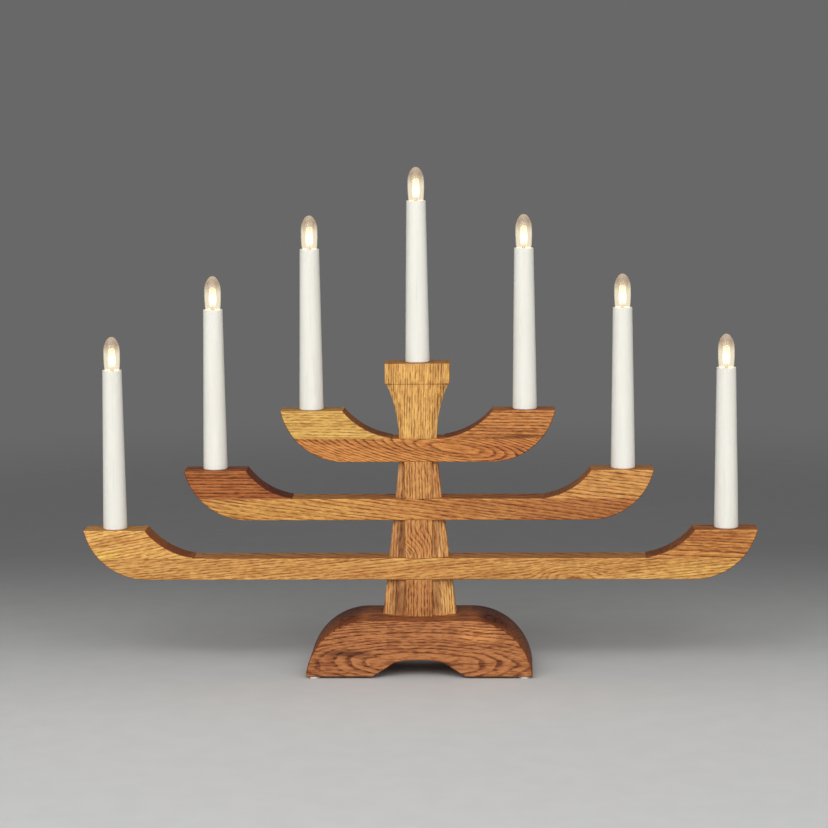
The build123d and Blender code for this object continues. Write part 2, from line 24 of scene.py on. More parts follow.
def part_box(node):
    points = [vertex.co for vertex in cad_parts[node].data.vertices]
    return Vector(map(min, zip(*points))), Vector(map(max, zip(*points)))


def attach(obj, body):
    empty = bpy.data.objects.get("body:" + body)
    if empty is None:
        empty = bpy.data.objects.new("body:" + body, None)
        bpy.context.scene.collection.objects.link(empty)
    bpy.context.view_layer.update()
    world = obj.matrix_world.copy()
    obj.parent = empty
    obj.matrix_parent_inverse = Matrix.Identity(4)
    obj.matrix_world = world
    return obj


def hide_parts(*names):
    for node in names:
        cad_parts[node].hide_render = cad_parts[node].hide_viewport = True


log = logging.getLogger("candle_arch")

Pair = tuple[float, float]
Point = tuple[float, float, float]
Colour = tuple[float, float, float, float]
Socket = bpy.types.NodeSocket

MM = 0.001
CANDLES = range(1, 8)
ORIGIN: Point = (0.0, 0.0, 0.0)
WHITE: Colour = (1.0, 1.0, 1.0, 1.0)
BLACK: Colour = (0.0, 0.0, 0.0, 1.0)


def srgb(code: str) -> Colour:
    """Turns a six-digit colour code into the linear colour that a shader takes.

    Args:
        code: the colour as rrggbb, as it is seen on a screen.

    Returns:
        Linear red, green and blue, with an alpha of one.
    """
    shares = [int(code[place : place + 2], 16) / 255 for place in (0, 2, 4)]
    linear = [s / 12.92 if s <= 0.04045 else ((s + 0.055) / 1.055) ** 2.4 for s in shares]
    return (linear[0], linear[1], linear[2], 1.0)


class Workbench:
    """Lays out the nodes of one material or surround, with a short call for each usual step."""

    seed_steps: Point = (3.7, 1.3, 2.9)

    def __init__(
        self, owner: bpy.types.Material | bpy.types.World, output: str = "ShaderNodeOutputMaterial"
    ) -> None:
        """Clears the owner's nodes and adds its output.

        Args:
            owner: the material or surround.
            output: the kind of its output node.
        """
        owner.use_nodes = True
        self.owner = owner
        self.tree = owner.node_tree
        self.tree.nodes.clear()
        self.output = self.tree.nodes.new(output)

    def node(self, kind: str, inputs: dict | None = None, **settings: object) -> bpy.types.Node:
        """Adds a node.

        Args:
            kind: the node's type.
            inputs: a socket to link, or a value to set, by the input's name or place.
            settings: the node's own options.

        Returns:
            The new node.
        """
        made = self.tree.nodes.new(kind)
        for option, value in settings.items():
            setattr(made, option, value)
        for key, value in (inputs or {}).items():
            if isinstance(value, Socket):
                self.tree.links.new(value, made.inputs[key])
            else:
                made.inputs[key].default_value = value
        return made

    def place(self) -> Socket:
        """The place in the frame, in metres."""
        return self.node("ShaderNodeTexCoord").outputs["Object"]

    def height(self) -> Socket:
        """The height in the piece, from 0 at its foot to 1 at its top."""
        return self.parts(self.node("ShaderNodeTexCoord").outputs["Generated"])[2]

    def maths(self, operation: str, a: Socket | float, b: Socket | float = 0.0) -> Socket:
        """The result of one step of arithmetic on one or two numbers."""
        return self.node("ShaderNodeMath", {0: a, 1: b}, operation=operation).outputs[0]

    def plus(self, *terms: Socket | float) -> Socket:
        """The sum of two or more numbers."""
        return reduce(partial(self.maths, "ADD"), terms)

    def times(self, *factors: Socket | float) -> Socket:
        """The product of two or more numbers."""
        return reduce(partial(self.maths, "MULTIPLY"), factors)

    def centred(self, value: Socket) -> Socket:
        """A number from 0 to 1, moved to lie evenly about zero."""
        return self.maths("SUBTRACT", value, 0.5)

    def vector(self, operation: str, a: Socket, b: Socket | Point) -> Socket:
        """The result of one step of arithmetic on two vectors."""
        return self.node("ShaderNodeVectorMath", {0: a, 1: b}, operation=operation).outputs[0]

    def facing(self, a: Socket, b: Socket | Point) -> Socket:
        """How far two directions agree, from minus one to one."""
        return self.node("ShaderNodeVectorMath", {0: a, 1: b}, operation="DOT_PRODUCT").outputs["Value"]

    def length(self, a: Socket) -> Socket:
        """The length of a vector."""
        return self.node("ShaderNodeVectorMath", {0: a}, operation="LENGTH").outputs["Value"]

    def parts(self, vector: Socket) -> bpy.types.NodeOutputs:
        """The three numbers of a vector."""
        return self.node("ShaderNodeSeparateXYZ", {0: vector}).outputs

    def joined(self, *numbers: Socket) -> Socket:
        """A vector of up to three numbers, with zero for those not given."""
        return self.node("ShaderNodeCombineXYZ", dict(enumerate(numbers))).outputs[0]

    def stretch(
        self, low: float, high: float, value: Socket, to_low: float = 0.0, to_high: float = 1.0
    ) -> Socket:
        """Carries a number from one range smoothly into another, and stops at its ends.

        Args:
            low: where the first range starts.
            high: where it ends.
            value: the number.
            to_low: the result at the start.
            to_high: the result at the end.

        Returns:
            The carried number.
        """
        inputs = {"Value": value, "From Min": low, "From Max": high, "To Min": to_low, "To Max": to_high}
        made = self.node("ShaderNodeMapRange", inputs, interpolation_type="SMOOTHSTEP")
        return made.outputs["Result"]

    def noise(self, place: Socket, waves: Point, detail: float = 2.0, seed: float = 0.0) -> Socket:
        """Smooth noise from 0 to 1.

        Args:
            place: the vector that the noise is read at.
            waves: waves for each unit of the vector, on its three axes.
            detail: how many finer layers are added.
            seed: moves the noise, so that no two boards have the same.

        Returns:
            The noise.
        """
        spread = self.vector("MULTIPLY", place, waves)
        moved = self.vector("ADD", spread, tuple(seed * step for step in self.seed_steps))
        inputs = {"Vector": moved, "Scale": 1.0, "Detail": detail}
        return self.node("ShaderNodeTexNoise", inputs).outputs[0]

    def ramp(self, value: Socket, stops: tuple[tuple[float, str], ...]) -> Socket:
        """A colour that follows a number.

        Args:
            value: the number, from 0 to 1.
            stops: the places on the way and their colour codes.

        Returns:
            The colour.
        """
        made = self.node("ShaderNodeValToRGB", {0: value})
        elements = made.color_ramp.elements
        while len(elements) < len(stops):
            elements.new(0.5)
        for element, (place, code) in zip(elements, stops):
            element.position = place
            element.color = srgb(code)
        return made.outputs[0]

    def blend(
        self, share: Socket | float, a: Socket | Colour, b: Socket | Colour, way: str = "MIX"
    ) -> Socket:
        """Mixes two colours.

        Args:
            share: how much of the second is taken.
            a: the first colour.
            b: the second colour.
            way: how the second is laid over the first.

        Returns:
            The mixed colour.
        """
        inputs = {0: share, 6: a, 7: b}
        return self.node("ShaderNodeMix", inputs, data_type="RGBA", blend_type=way).outputs[2]

    def tint(self, share: Socket, colour: Socket, tint: Point) -> Socket:
        """A colour multiplied by a tint, as far as the share goes."""
        return self.blend(share, colour, (*tint, 1.0), "MULTIPLY")

    def bump(self, height: Socket, depth: float, strength: float, **under: Socket) -> Socket:
        """A normal that follows a relief.

        Args:
            height: the relief, from 0 to 1.
            depth: how deep a height of one is, in metres.
            strength: how much of the relief is taken.
            under: the normal that the relief lies on, where it isn't the face's own.

        Returns:
            The normal.
        """
        inputs = {"Height": height, "Distance": depth, "Strength": strength, **under}
        return self.node("ShaderNodeBump", inputs).outputs[0]

    def send(self, shader: Socket) -> None:
        """Links a shader to the output."""
        self.tree.links.new(shader, self.output.inputs["Surface"])

    def finish(self, surface: dict[str, Socket | Colour | Point | float]) -> bpy.types.Material:
        """Makes the material one plain surface.

        Args:
            surface: a socket to link, or a value to set, by the name of the surface's input.

        Returns:
            The material.
        """
        self.send(self.node("ShaderNodeBsdfPrincipled", surface).outputs[0])
        return self.owner


class Grain(Enum):
    """The way that a board's grain runs."""

    ALONG_ARM = "along the arm"
    UPRIGHT = "upright"


@dataclass(frozen=True)
class Spot:
    """A soft-edged place on a board, with its centre and reach in millimetres."""

    centre: Point
    reach: Point


@dataclass(frozen=True)
class TintPatch(Spot):
    """A change of colour: a drift, a streak, a sapwood edge or a knot. A few are painted shadows and
    painted highlights instead.

    The tint multiplies the wood's own colour.
    """

    tint: Point
    strength: float = 1.0


@dataclass(frozen=True)
class Bend(Spot):
    """A place that the year rings bend round. Lift is how far they move, in millimetres."""

    lift: float


@dataclass(frozen=True)
class Layer:
    """One layer of noise in the wood.

    Waves are counted in a millimetre along, through and across the grain, or in a step across
    the rings. Apart keeps the layer's seed away from those of the others.
    """

    waves: Point
    detail: float
    apart: float
    share: float = 1.0


# What all the oak has in common
DRIFT = Layer((0.009, 0.04, 0.04), 2.0, 0.0, 2.6)
RIPPLE = Layer((0.05, 0.2, 0.2), 2.0, 5.0, 0.5)
UNEVEN_YEARS = Layer((0.11, 1.0, 1.0), 2.0, 9.0, 2.2)
YEAR_STRENGTH = Layer((0.33, 1.0, 1.0), 1.0, 13.0)
STREAK = Layer((0.006, 0.22, 0.22), 3.0, 17.0, 0.7)
TORN_EDGE = Layer((0.05, 0.12, 0.12), 3.0, 21.0, 0.6)
FIBRE = Layer((0.06, 0.8, 0.8), 3.0, 25.0, 0.8)
DASH = Layer((0.16, 1.0, 1.0), 2.0, 31.0)
FLECK = Layer((0.16, 0.8, 0.8), 3.0, 37.0)
YEAR_STOPS = ((0.0, "000000"), (0.12, "585858"), (0.34, "d8d8d8"), (0.88, "ffffff"), (1.0, "303030"))
TONE_PLACES = (0.12, 0.5, 0.86)
MIDDLE_TONE = 0.52
FIGURE_SHARE = 0.55
PORE_TINT: Point = (0.45, 0.35, 0.29)
# Painted highlight along the rounded arrises, with a little rubbed wear
ARRIS_WEAR_AND_HIGHLIGHT_TINT: Point = (1.45, 1.36, 1.22)
ROUNDED_ARRIS_RADIUS = 0.8 * MM
SPOT_RIM_SHARE = 1.05
SPOT_CORE_SHARE = 0.25
RELIEF_DEPTH = 0.12 * MM
RELIEF_STRENGTH = 0.55
LATE_RELIEF_SHARE = 0.35
PORE_RELIEF_SHARE = 0.8
FIBRE_RELIEF_SHARE = 0.5
OIL_SHINE = 0.3


@dataclass(frozen=True)
class OakBoard:
    """The figure and colour of one oiled oak board.

    Tones are its light, middle and dark colour. The year rings are tubes round a heart line, cut
    by the board's faces. Slope tips the line in the plane of the front face and dive tips it
    through the depth, both in degrees. Nose is how quickly the rings close along the grain, which
    draws the pointed arches of a flat-sawn board. Lengths are in millimetres.
    """

    name: str
    tones: tuple[str, str, str]
    heart: Point
    grain: Grain = Grain.ALONG_ARM
    slope: float = 0.0
    dive: float = 0.0
    nose: float = 0.0
    ring_width: float = 2.7
    wander: float = 2.0
    contrast: float = 1.0
    pores: float = 0.75
    flecks: float = 0.26
    # End-grain darkening, the oak's own colour; on the left blocks it is made stronger as painted shade
    end_grain_and_shade_tint: Point = (0.52, 0.4, 0.34)
    # Painted shade on the top faces
    top_shade_tint: Point = (0.62, 0.52, 0.48)
    seed: float = 1.0
    tint_patches: tuple[TintPatch, ...] = ()
    bends: tuple[Bend, ...] = ()

    def _layer(self, bench: Workbench, place: Socket, layer: Layer) -> Socket:
        """One layer of noise, from 0 to 1."""
        return bench.noise(place, layer.waves, layer.detail, self.seed + layer.apart)

    def _swing(self, bench: Workbench, place: Socket, layer: Layer) -> Socket:
        """One layer of noise, which swings about zero by its share."""
        return bench.times(bench.centred(self._layer(bench, place, layer)), layer.share)

    def _grain_vector(self, bench: Workbench, place: Socket) -> Socket:
        """The place in the board's own terms: along the grain, through the depth, and across.

        Args:
            bench: the material in hand.
            place: the place in the frame, in millimetres.

        Returns:
            The vector from the heart line, turned so that its first axis is the grain.
        """
        from_heart = bench.vector("SUBTRACT", place, self.heart)
        if self.grain is Grain.UPRIGHT:
            parts = bench.parts(from_heart)
            from_heart = bench.joined(parts[2], parts[1], parts[0])
        angles = (0.0, math.radians(self.slope), math.radians(self.dive))
        inputs = {"Vector": from_heart, "Rotation": angles}
        return bench.node("ShaderNodeVectorRotate", inputs, rotation_type="EULER_XYZ").outputs[0]

    def _soft_spot(
        self, bench: Workbench, place: Socket, spot: Spot, height: float, torn: bool = False
    ) -> Socket:
        """A hump that is highest at a spot's centre and falls to nothing at its reach.

        Args:
            bench: the material in hand.
            place: the place in the frame, in millimetres.
            spot: the hump's centre and reach.
            height: its height at the middle.
            torn: whether its edge is ragged.

        Returns:
            The height at the place.
        """
        from_centre = bench.vector("SUBTRACT", place, spot.centre)
        away = bench.length(bench.vector("DIVIDE", from_centre, spot.reach))
        if torn:
            away = bench.plus(away, self._swing(bench, place, TORN_EDGE))
        return bench.stretch(SPOT_RIM_SHARE, SPOT_CORE_SHARE, away, 0.0, height)

    def _rings(self, bench: Workbench, along: Socket, place: Socket) -> Socket:
        """How many year rings lie between the heart and a place.

        Args:
            bench: the material in hand.
            along: the place in the board's own terms.
            place: the place in the frame, in millimetres.

        Returns:
            The count of rings, with its fraction.
        """
        swing = bench.plus(self._swing(bench, along, DRIFT), self._swing(bench, along, RIPPLE))
        from_heart = bench.length(bench.vector("MULTIPLY", along, (self.nose, 1.0, 1.0)))
        depth = bench.plus(from_heart, bench.times(swing, self.wander))
        for bend in self.bends:
            depth = bench.plus(depth, self._soft_spot(bench, place, bend, bend.lift))
        uneven = self._swing(bench, bench.joined(depth), UNEVEN_YEARS)
        return bench.plus(bench.times(depth, 1.0 / self.ring_width), uneven)

    def _tone(
        self, bench: Workbench, along: Socket, rings: Socket, late: Socket, fibre: Socket
    ) -> Socket:
        """The wood's own colour: years, streaks, fibres and flecks.

        Args:
            bench: the material in hand.
            along: the place in the board's own terms.
            rings: the count of rings.
            late: how dense the wood is within its year.
            fibre: the fine marks along the grain, about zero.

        Returns:
            The colour.
        """
        strength = self._layer(bench, bench.joined(rings), YEAR_STRENGTH)
        figure = bench.times(bench.centred(late), bench.stretch(0.3, 0.7, strength, 0.35, 1.0))
        fleck = bench.centred(bench.stretch(0.4, 0.6, self._layer(bench, along, FLECK)))
        tone = bench.plus(
            bench.times(figure, FIGURE_SHARE * self.contrast),
            MIDDLE_TONE,
            self._swing(bench, along, STREAK),
            bench.times(fibre, FIBRE.share),
            bench.times(fleck, self.flecks),
        )
        return bench.ramp(tone, tuple(zip(TONE_PLACES, reversed(self.tones))))

    def _other_faces(self, bench: Workbench, colour: Socket) -> Socket:
        """Darkens the faces that cut across the grain, which drink more oil, and paints shade on the top
        faces.

        Args:
            bench: the material in hand.
            colour: the colour so far.

        Returns:
            The colour with those faces darkened.
        """
        parts = bench.parts(bench.node("ShaderNodeNewGeometry").outputs["Normal"])
        if self.grain is Grain.UPRIGHT:
            share = bench.stretch(0.3, 0.9, bench.maths("ABSOLUTE", parts[2]), 0.0, 0.9)
            return bench.tint(share, colour, self.end_grain_and_shade_tint)
        # Faces across the grain darkened: the end grain's own colour, and painted shade where a board's
        # tint is stronger
        share = bench.stretch(0.0, 0.25, bench.maths("ABSOLUTE", parts[0]), 0.0, 0.95)
        colour = bench.tint(share, colour, self.end_grain_and_shade_tint)
        # Painted shade: the top faces darker than the fronts
        return bench.tint(bench.stretch(0.7, 0.98, parts[2], 0.0, 0.9), colour, self.top_shade_tint)

    def material(self) -> bpy.types.Material:
        """Builds the board's material: colour, pores, sheen and relief from one figure.

        Returns:
            The material.
        """
        bench = Workbench(bpy.data.materials.new(self.name))
        place = bench.vector("MULTIPLY", bench.place(), (1 / MM, 1 / MM, 1 / MM))
        along = self._grain_vector(bench, place)
        rings = self._rings(bench, along, place)

        # Within a year the wood goes from dark, open early wood to light, dense late wood
        late = bench.ramp(bench.maths("FRACT", rings), YEAR_STOPS)
        fibre = bench.centred(self._layer(bench, along, FIBRE))
        colour = self._tone(bench, along, rings, late, fibre)

        # Open pores: short dark dashes, thickest in the early wood
        dash = self._layer(bench, along, DASH)
        pore = bench.times(bench.stretch(0.48, 0.56, dash), bench.stretch(0.9, 0.2, late, 0.2, 1.0))
        colour = bench.tint(bench.times(pore, self.pores), colour, PORE_TINT)
        # Tint patches: wood stains, with some painted shadows and painted highlights among them
        for patch in self.tint_patches:
            share = self._soft_spot(bench, place, patch, patch.strength, torn=True)
            colour = bench.tint(share, colour, patch.tint)
        colour = self._other_faces(bench, colour)

        # Rounded corners, lightened along the arris: a painted highlight, with a little rubbed wear
        rounded = bench.node("ShaderNodeBevel", {"Radius": ROUNDED_ARRIS_RADIUS}, samples=4).outputs[0]
        turned_away = bench.facing(rounded, bench.node("ShaderNodeNewGeometry").outputs["Normal"])
        colour = bench.tint(bench.stretch(0.995, 0.9, turned_away, 0.0, 0.5), colour, ARRIS_WEAR_AND_HIGHLIGHT_TINT)
        relief = bench.plus(
            bench.times(late, LATE_RELIEF_SHARE),
            bench.times(pore, -PORE_RELIEF_SHARE),
            bench.times(fibre, FIBRE_RELIEF_SHARE),
        )
        roughness = bench.plus(bench.stretch(0.2, 0.8, dash, 0.42, 0.56), bench.times(pore, 0.2))
        return bench.finish(
            {
                "Base Color": colour,
                "Roughness": roughness,
                "Normal": bench.bump(relief, RELIEF_DEPTH, RELIEF_STRENGTH, Normal=rounded),
                "Specular IOR Level": OIL_SHINE,
            }
        )


@dataclass(frozen=True)
class MouldedPlastic:
    """Smooth moulded plastic with faint flow marks and a soft skin.

    Glow is the share of light that sinks in and comes out again, and stray is how far the
    roughness wanders each way.
    """

    name: str
    colour: str
    shade: str
    roughness: float = 0.3
    glow: float = 0.0
    stray: Pair = (-0.04, 0.06)
    flow_waves: Point = (260.0, 260.0, 18.0)
    skin_waves: Point = (1900.0, 1900.0, 1900.0)
    skin_depth: float = 0.03 * MM
    skin_strength: float = 0.25
    light_reach: float = 3.0 * MM
    light_spread: Point = (1.0, 0.9, 0.7)

    def material(self) -> bpy.types.Material:
        """Builds the plastic's material.

        Returns:
            The material.
        """
        bench = Workbench(bpy.data.materials.new(self.name))
        flow = bench.noise(bench.place(), self.flow_waves, detail=3.0, seed=2.0)
        skin = bench.noise(bench.place(), self.skin_waves, detail=2.0, seed=4.0)
        rough_ends = [self.roughness + stray for stray in self.stray]
        return bench.finish(
            {
                "Base Color": bench.ramp(flow, ((0.3, self.shade), (0.7, self.colour))),
                "Roughness": bench.stretch(0.25, 0.75, flow, *rough_ends),
                "Normal": bench.bump(skin, self.skin_depth, self.skin_strength),
                "Subsurface Weight": self.glow,
                "Subsurface Radius": self.light_spread,
                "Subsurface Scale": self.light_reach,
            }
        )


@dataclass(frozen=True)
class Metal:
    """Drawn or turned metal with fine marks round it and a little dulling."""

    name: str
    bright: str
    dull: str
    roughness: float
    stray: Pair = (-0.08, 0.14)
    mark_waves: Point = (300.0, 300.0, 4200.0)
    cloud_waves: Point = (420.0, 420.0, 420.0)
    mark_depth: float = 0.02 * MM
    mark_strength: float = 0.3

    def material(self) -> bpy.types.Material:
        """Builds the metal's material.

        Returns:
            The material.
        """
        bench = Workbench(bpy.data.materials.new(self.name))
        marks = bench.noise(bench.place(), self.mark_waves, detail=3.0, seed=6.0)
        cloud = bench.noise(bench.place(), self.cloud_waves, detail=3.0, seed=8.0)
        rough_ends = [self.roughness + stray for stray in self.stray]
        return bench.finish(
            {
                "Base Color": bench.ramp(cloud, ((0.35, self.dull), (0.62, self.bright))),
                "Roughness": bench.stretch(0.2, 0.8, marks, *rough_ends),
                "Normal": bench.bump(marks, self.mark_depth, self.mark_strength),
                "Metallic": 1.0,
            }
        )


@dataclass(frozen=True)
class Rubber:
    """Soft moulded rubber or sheath, matt with a dusty skin."""

    name: str
    colour: str
    shade: str
    dust_waves: Point = (700.0, 700.0, 700.0)
    dust_depth: float = 0.05 * MM
    dust_strength: float = 0.4
    roughness: Pair = (0.5, 0.68)

    def material(self) -> bpy.types.Material:
        """Builds the rubber's material.

        Returns:
            The material.
        """
        bench = Workbench(bpy.data.materials.new(self.name))
        dust = bench.noise(bench.place(), self.dust_waves, detail=3.0, seed=2.0)
        return bench.finish(
            {
                "Base Color": bench.ramp(dust, ((0.35, self.shade), (0.65, self.colour))),
                "Roughness": bench.stretch(0.3, 0.7, dust, *self.roughness),
                "Normal": bench.bump(dust, self.dust_depth, self.dust_strength),
            }
        )


@dataclass(frozen=True)
class LampGlass:
    """Clear lamp glass, faintly smoked towards its tip, with a painted glow from the filament in the glass
    itself.
    """

    name: str = "lamp_glass"
    body: str = "fffdf8"
    tip: str = "ece2d4"
    painted_glow: str = "f4e6c8"
    painted_glow_dim: str = "a89078"
    painted_glow_tip: str = "d8c8b4"
    # Strength of the painted glow in the glass
    strength: float = 0.2
    ripple_waves: Point = (240.0, 240.0, 240.0)
    ripple_depth: float = 0.05 * MM
    ripple_strength: float = 0.03
    unevenness: float = 0.12
    tip_roughness: float = 0.3
    refraction: float = 1.47

    def material(self) -> bpy.types.Material:
        """Builds the glass, with its painted glow graded by height in each lamp.

        Returns:
            The material.
        """
        bench = Workbench(bpy.data.materials.new(self.name))
        ripple = bench.noise(bench.place(), self.ripple_waves, detail=2.0, seed=3.0)
        height = bench.plus(bench.height(), bench.times(bench.centred(ripple), self.unevenness))
        # Painted glow: the glass gives off light of its own, graded by height and dimmer towards the tip
        painted_glow = ((0.2, self.painted_glow), (0.62, self.painted_glow), (0.84, self.painted_glow_dim), (1.0, self.painted_glow_tip))
        tip_roughness = bench.stretch(0.6, 0.9, height, 0.0, self.tip_roughness)
        return bench.finish(
            {
                "Base Color": bench.ramp(height, ((0.55, self.body), (0.9, self.tip))),
                "Roughness": bench.plus(bench.stretch(0.3, 0.7, ripple, 0.03, 0.08), tip_roughness),
                "Normal": bench.bump(ripple, self.ripple_depth, self.ripple_strength),
                "IOR": self.refraction,
                "Transmission Weight": 1.0,
                "Emission Color": bench.ramp(height, painted_glow),
                "Emission Strength": self.strength,
            }
        )


@dataclass(frozen=True)
class Glow:
    """Light that hangs round a filament: bright, half see-through, and soft at its ends."""

    name: str = "lamp_glow"
    colour: str = "fff9ee"
    top_colour: str = "ffeccc"
    strength: float = 1.25
    cover: float = 0.6
    flicker_waves: Point = (300.0, 300.0, 160.0)
    flicker: float = 0.3

    def material(self) -> bpy.types.Material:
        """Builds the glow, with its cover graded by height in each lamp.

        Returns:
            The material.
        """
        bench = Workbench(bpy.data.materials.new(self.name))
        flicker = bench.noise(bench.place(), self.flicker_waves, detail=2.0, seed=3.0)
        height = bench.plus(bench.height(), bench.times(bench.centred(flicker), self.flicker))
        return bench.finish(
            {
                "Base Color": BLACK,
                "Roughness": 1.0,
                "Specular IOR Level": 0.0,
                "Alpha": bench.times(
                    bench.stretch(0.0, 0.4, height), bench.stretch(1.0, 0.7, height), self.cover
                ),
                "Emission Color": bench.ramp(height, ((0.1, self.colour), (0.8, self.top_colour))),
                "Emission Strength": self.strength,
            }
        )


@dataclass(frozen=True)
class HotWire:
    """A filament at working heat."""

    name: str = "hot_wire"
    stem: str = "b9b1a3"
    colour: str = "fff0cc"
    shade: str = "ffd590"
    strength: float = 1.0
    roughness: float = 0.5
    mottle_waves: Point = (900.0, 900.0, 900.0)

    def material(self) -> bpy.types.Material:
        """Builds the wire, which is hot in the coil and cold in the stem under it.

        Returns:
            The material.
        """
        bench = Workbench(bpy.data.materials.new(self.name))
        mottle = bench.noise(bench.place(), self.mottle_waves, detail=2.0, seed=1.0)
        return bench.finish(
            {
                "Base Color": srgb(self.stem),
                "Roughness": self.roughness,
                "Emission Color": bench.ramp(mottle, ((0.3, self.shade), (0.7, self.colour))),
                "Emission Strength": bench.stretch(0.45, 0.62, bench.height(), 0.0, self.strength),
            }
        )


def dress(node: str, material: bpy.types.Material) -> None:
    """Gives a node of the frame its finish.

    Args:
        node: the node's name.
        material: the finish for all of it.
    """
    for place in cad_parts[node].material_slots:
        place.material = material
    log.info("dressed %s with %s", node, material.name)


def tangent_arc(start: Pair, heading: float, end: Pair, steps: int) -> tuple[list[Pair], float]:
    """Draws the arc that leaves a point in a given direction and ends at another point.

    Args:
        start: where it starts.
        heading: the direction in which it leaves, in radians.
        end: where it ends.
        steps: how many points it gets after the first.

    Returns:
        The points after the start, and the direction at the end.
    """
    chord = math.hypot(end[0] - start[0], end[1] - start[1])
    turn = math.atan2(end[1] - start[1], end[0] - start[0]) - heading
    turn = 2 * ((turn + math.pi) % (2 * math.pi) - math.pi)
    radius = chord / (2 * math.sin(turn / 2))
    points = []
    for step in range(1, steps + 1):
        angle = heading + turn * step / steps
        across = start[0] + radius * (math.sin(angle) - math.sin(heading))
        up = start[1] - radius * (math.cos(angle) - math.cos(heading))
        points.append((across, up))
    return points, heading + turn


def wrap(
    shape: bmesh.types.BMesh, rings: list[list[bmesh.types.BMVert]], finishes: list[int] | None = None
) -> None:
    """Lays faces between closed rings of points that follow each other.

    Args:
        shape: the mesh in hand.
        rings: the rings, all with the same count of points.
        finishes: the number of the finish of the faces after each ring, or None for one finish.
    """
    for place, (first, second) in enumerate(zip(rings, rings[1:])):
        for step in range(len(first)):
            after = (step + 1) % len(first)
            face = shape.faces.new((first[step], first[after], second[after], second[step]))
            face.material_index = finishes[place] if finishes else 0


def finished_piece(name: str, shape: bmesh.types.BMesh, centre: Point) -> bpy.types.Object:
    """Turns a worked mesh into a smooth-shaded object at its place.

    Args:
        name: the piece's name.
        shape: the mesh, which is used up.
        centre: where its origin goes.

    Returns:
        The new object.
    """
    bmesh.ops.recalc_face_normals(shape, faces=shape.faces)
    mesh = bpy.data.meshes.new(name)
    shape.to_mesh(mesh)
    shape.free()
    for face in mesh.polygons:
        face.use_smooth = True
    piece = bpy.data.objects.new(name, mesh)
    piece.location = centre
    bpy.context.scene.collection.objects.link(piece)
    log.info("made %s", name)
    return piece


def turned_piece(name: str, outlines: list[list[Pair]], centre: Point, around: int) -> bpy.types.Object:
    """Turns one or more outlines about an upright axis into one smooth piece.

    Args:
        name: the piece's name.
        outlines: each a run of radius and height, in metres from the centre.
        centre: the place of the axis and of height zero.
        around: how many faces go round.

    Returns:
        The new piece, not yet riding on a body.
    """
    shape = bmesh.new()
    turns = [2 * math.pi * step / around for step in range(around)]
    for outline in outlines:
        rings = []
        for radius, height in outline:
            points = [(radius * math.cos(turn), radius * math.sin(turn), height) for turn in turns]
            rings.append([shape.verts.new(point) for point in points])
        wrap(shape, rings)
    return finished_piece(name, shape, centre)


def cut_out(block: bpy.types.Object, cutter: bpy.types.Object) -> None:
    """Cuts one piece out of another and throws the cutter away.

    Args:
        block: the piece that is cut.
        cutter: the piece that goes.
    """
    step = block.modifiers.new("cut", "BOOLEAN")
    step.operation = "DIFFERENCE"
    step.solver = "EXACT"
    step.object = cutter
    bpy.context.view_layer.update()
    cut = bpy.data.meshes.new_from_object(block.evaluated_get(bpy.context.evaluated_depsgraph_get()))
    block.modifiers.remove(step)
    block.data = cut
    bpy.data.objects.remove(cutter)


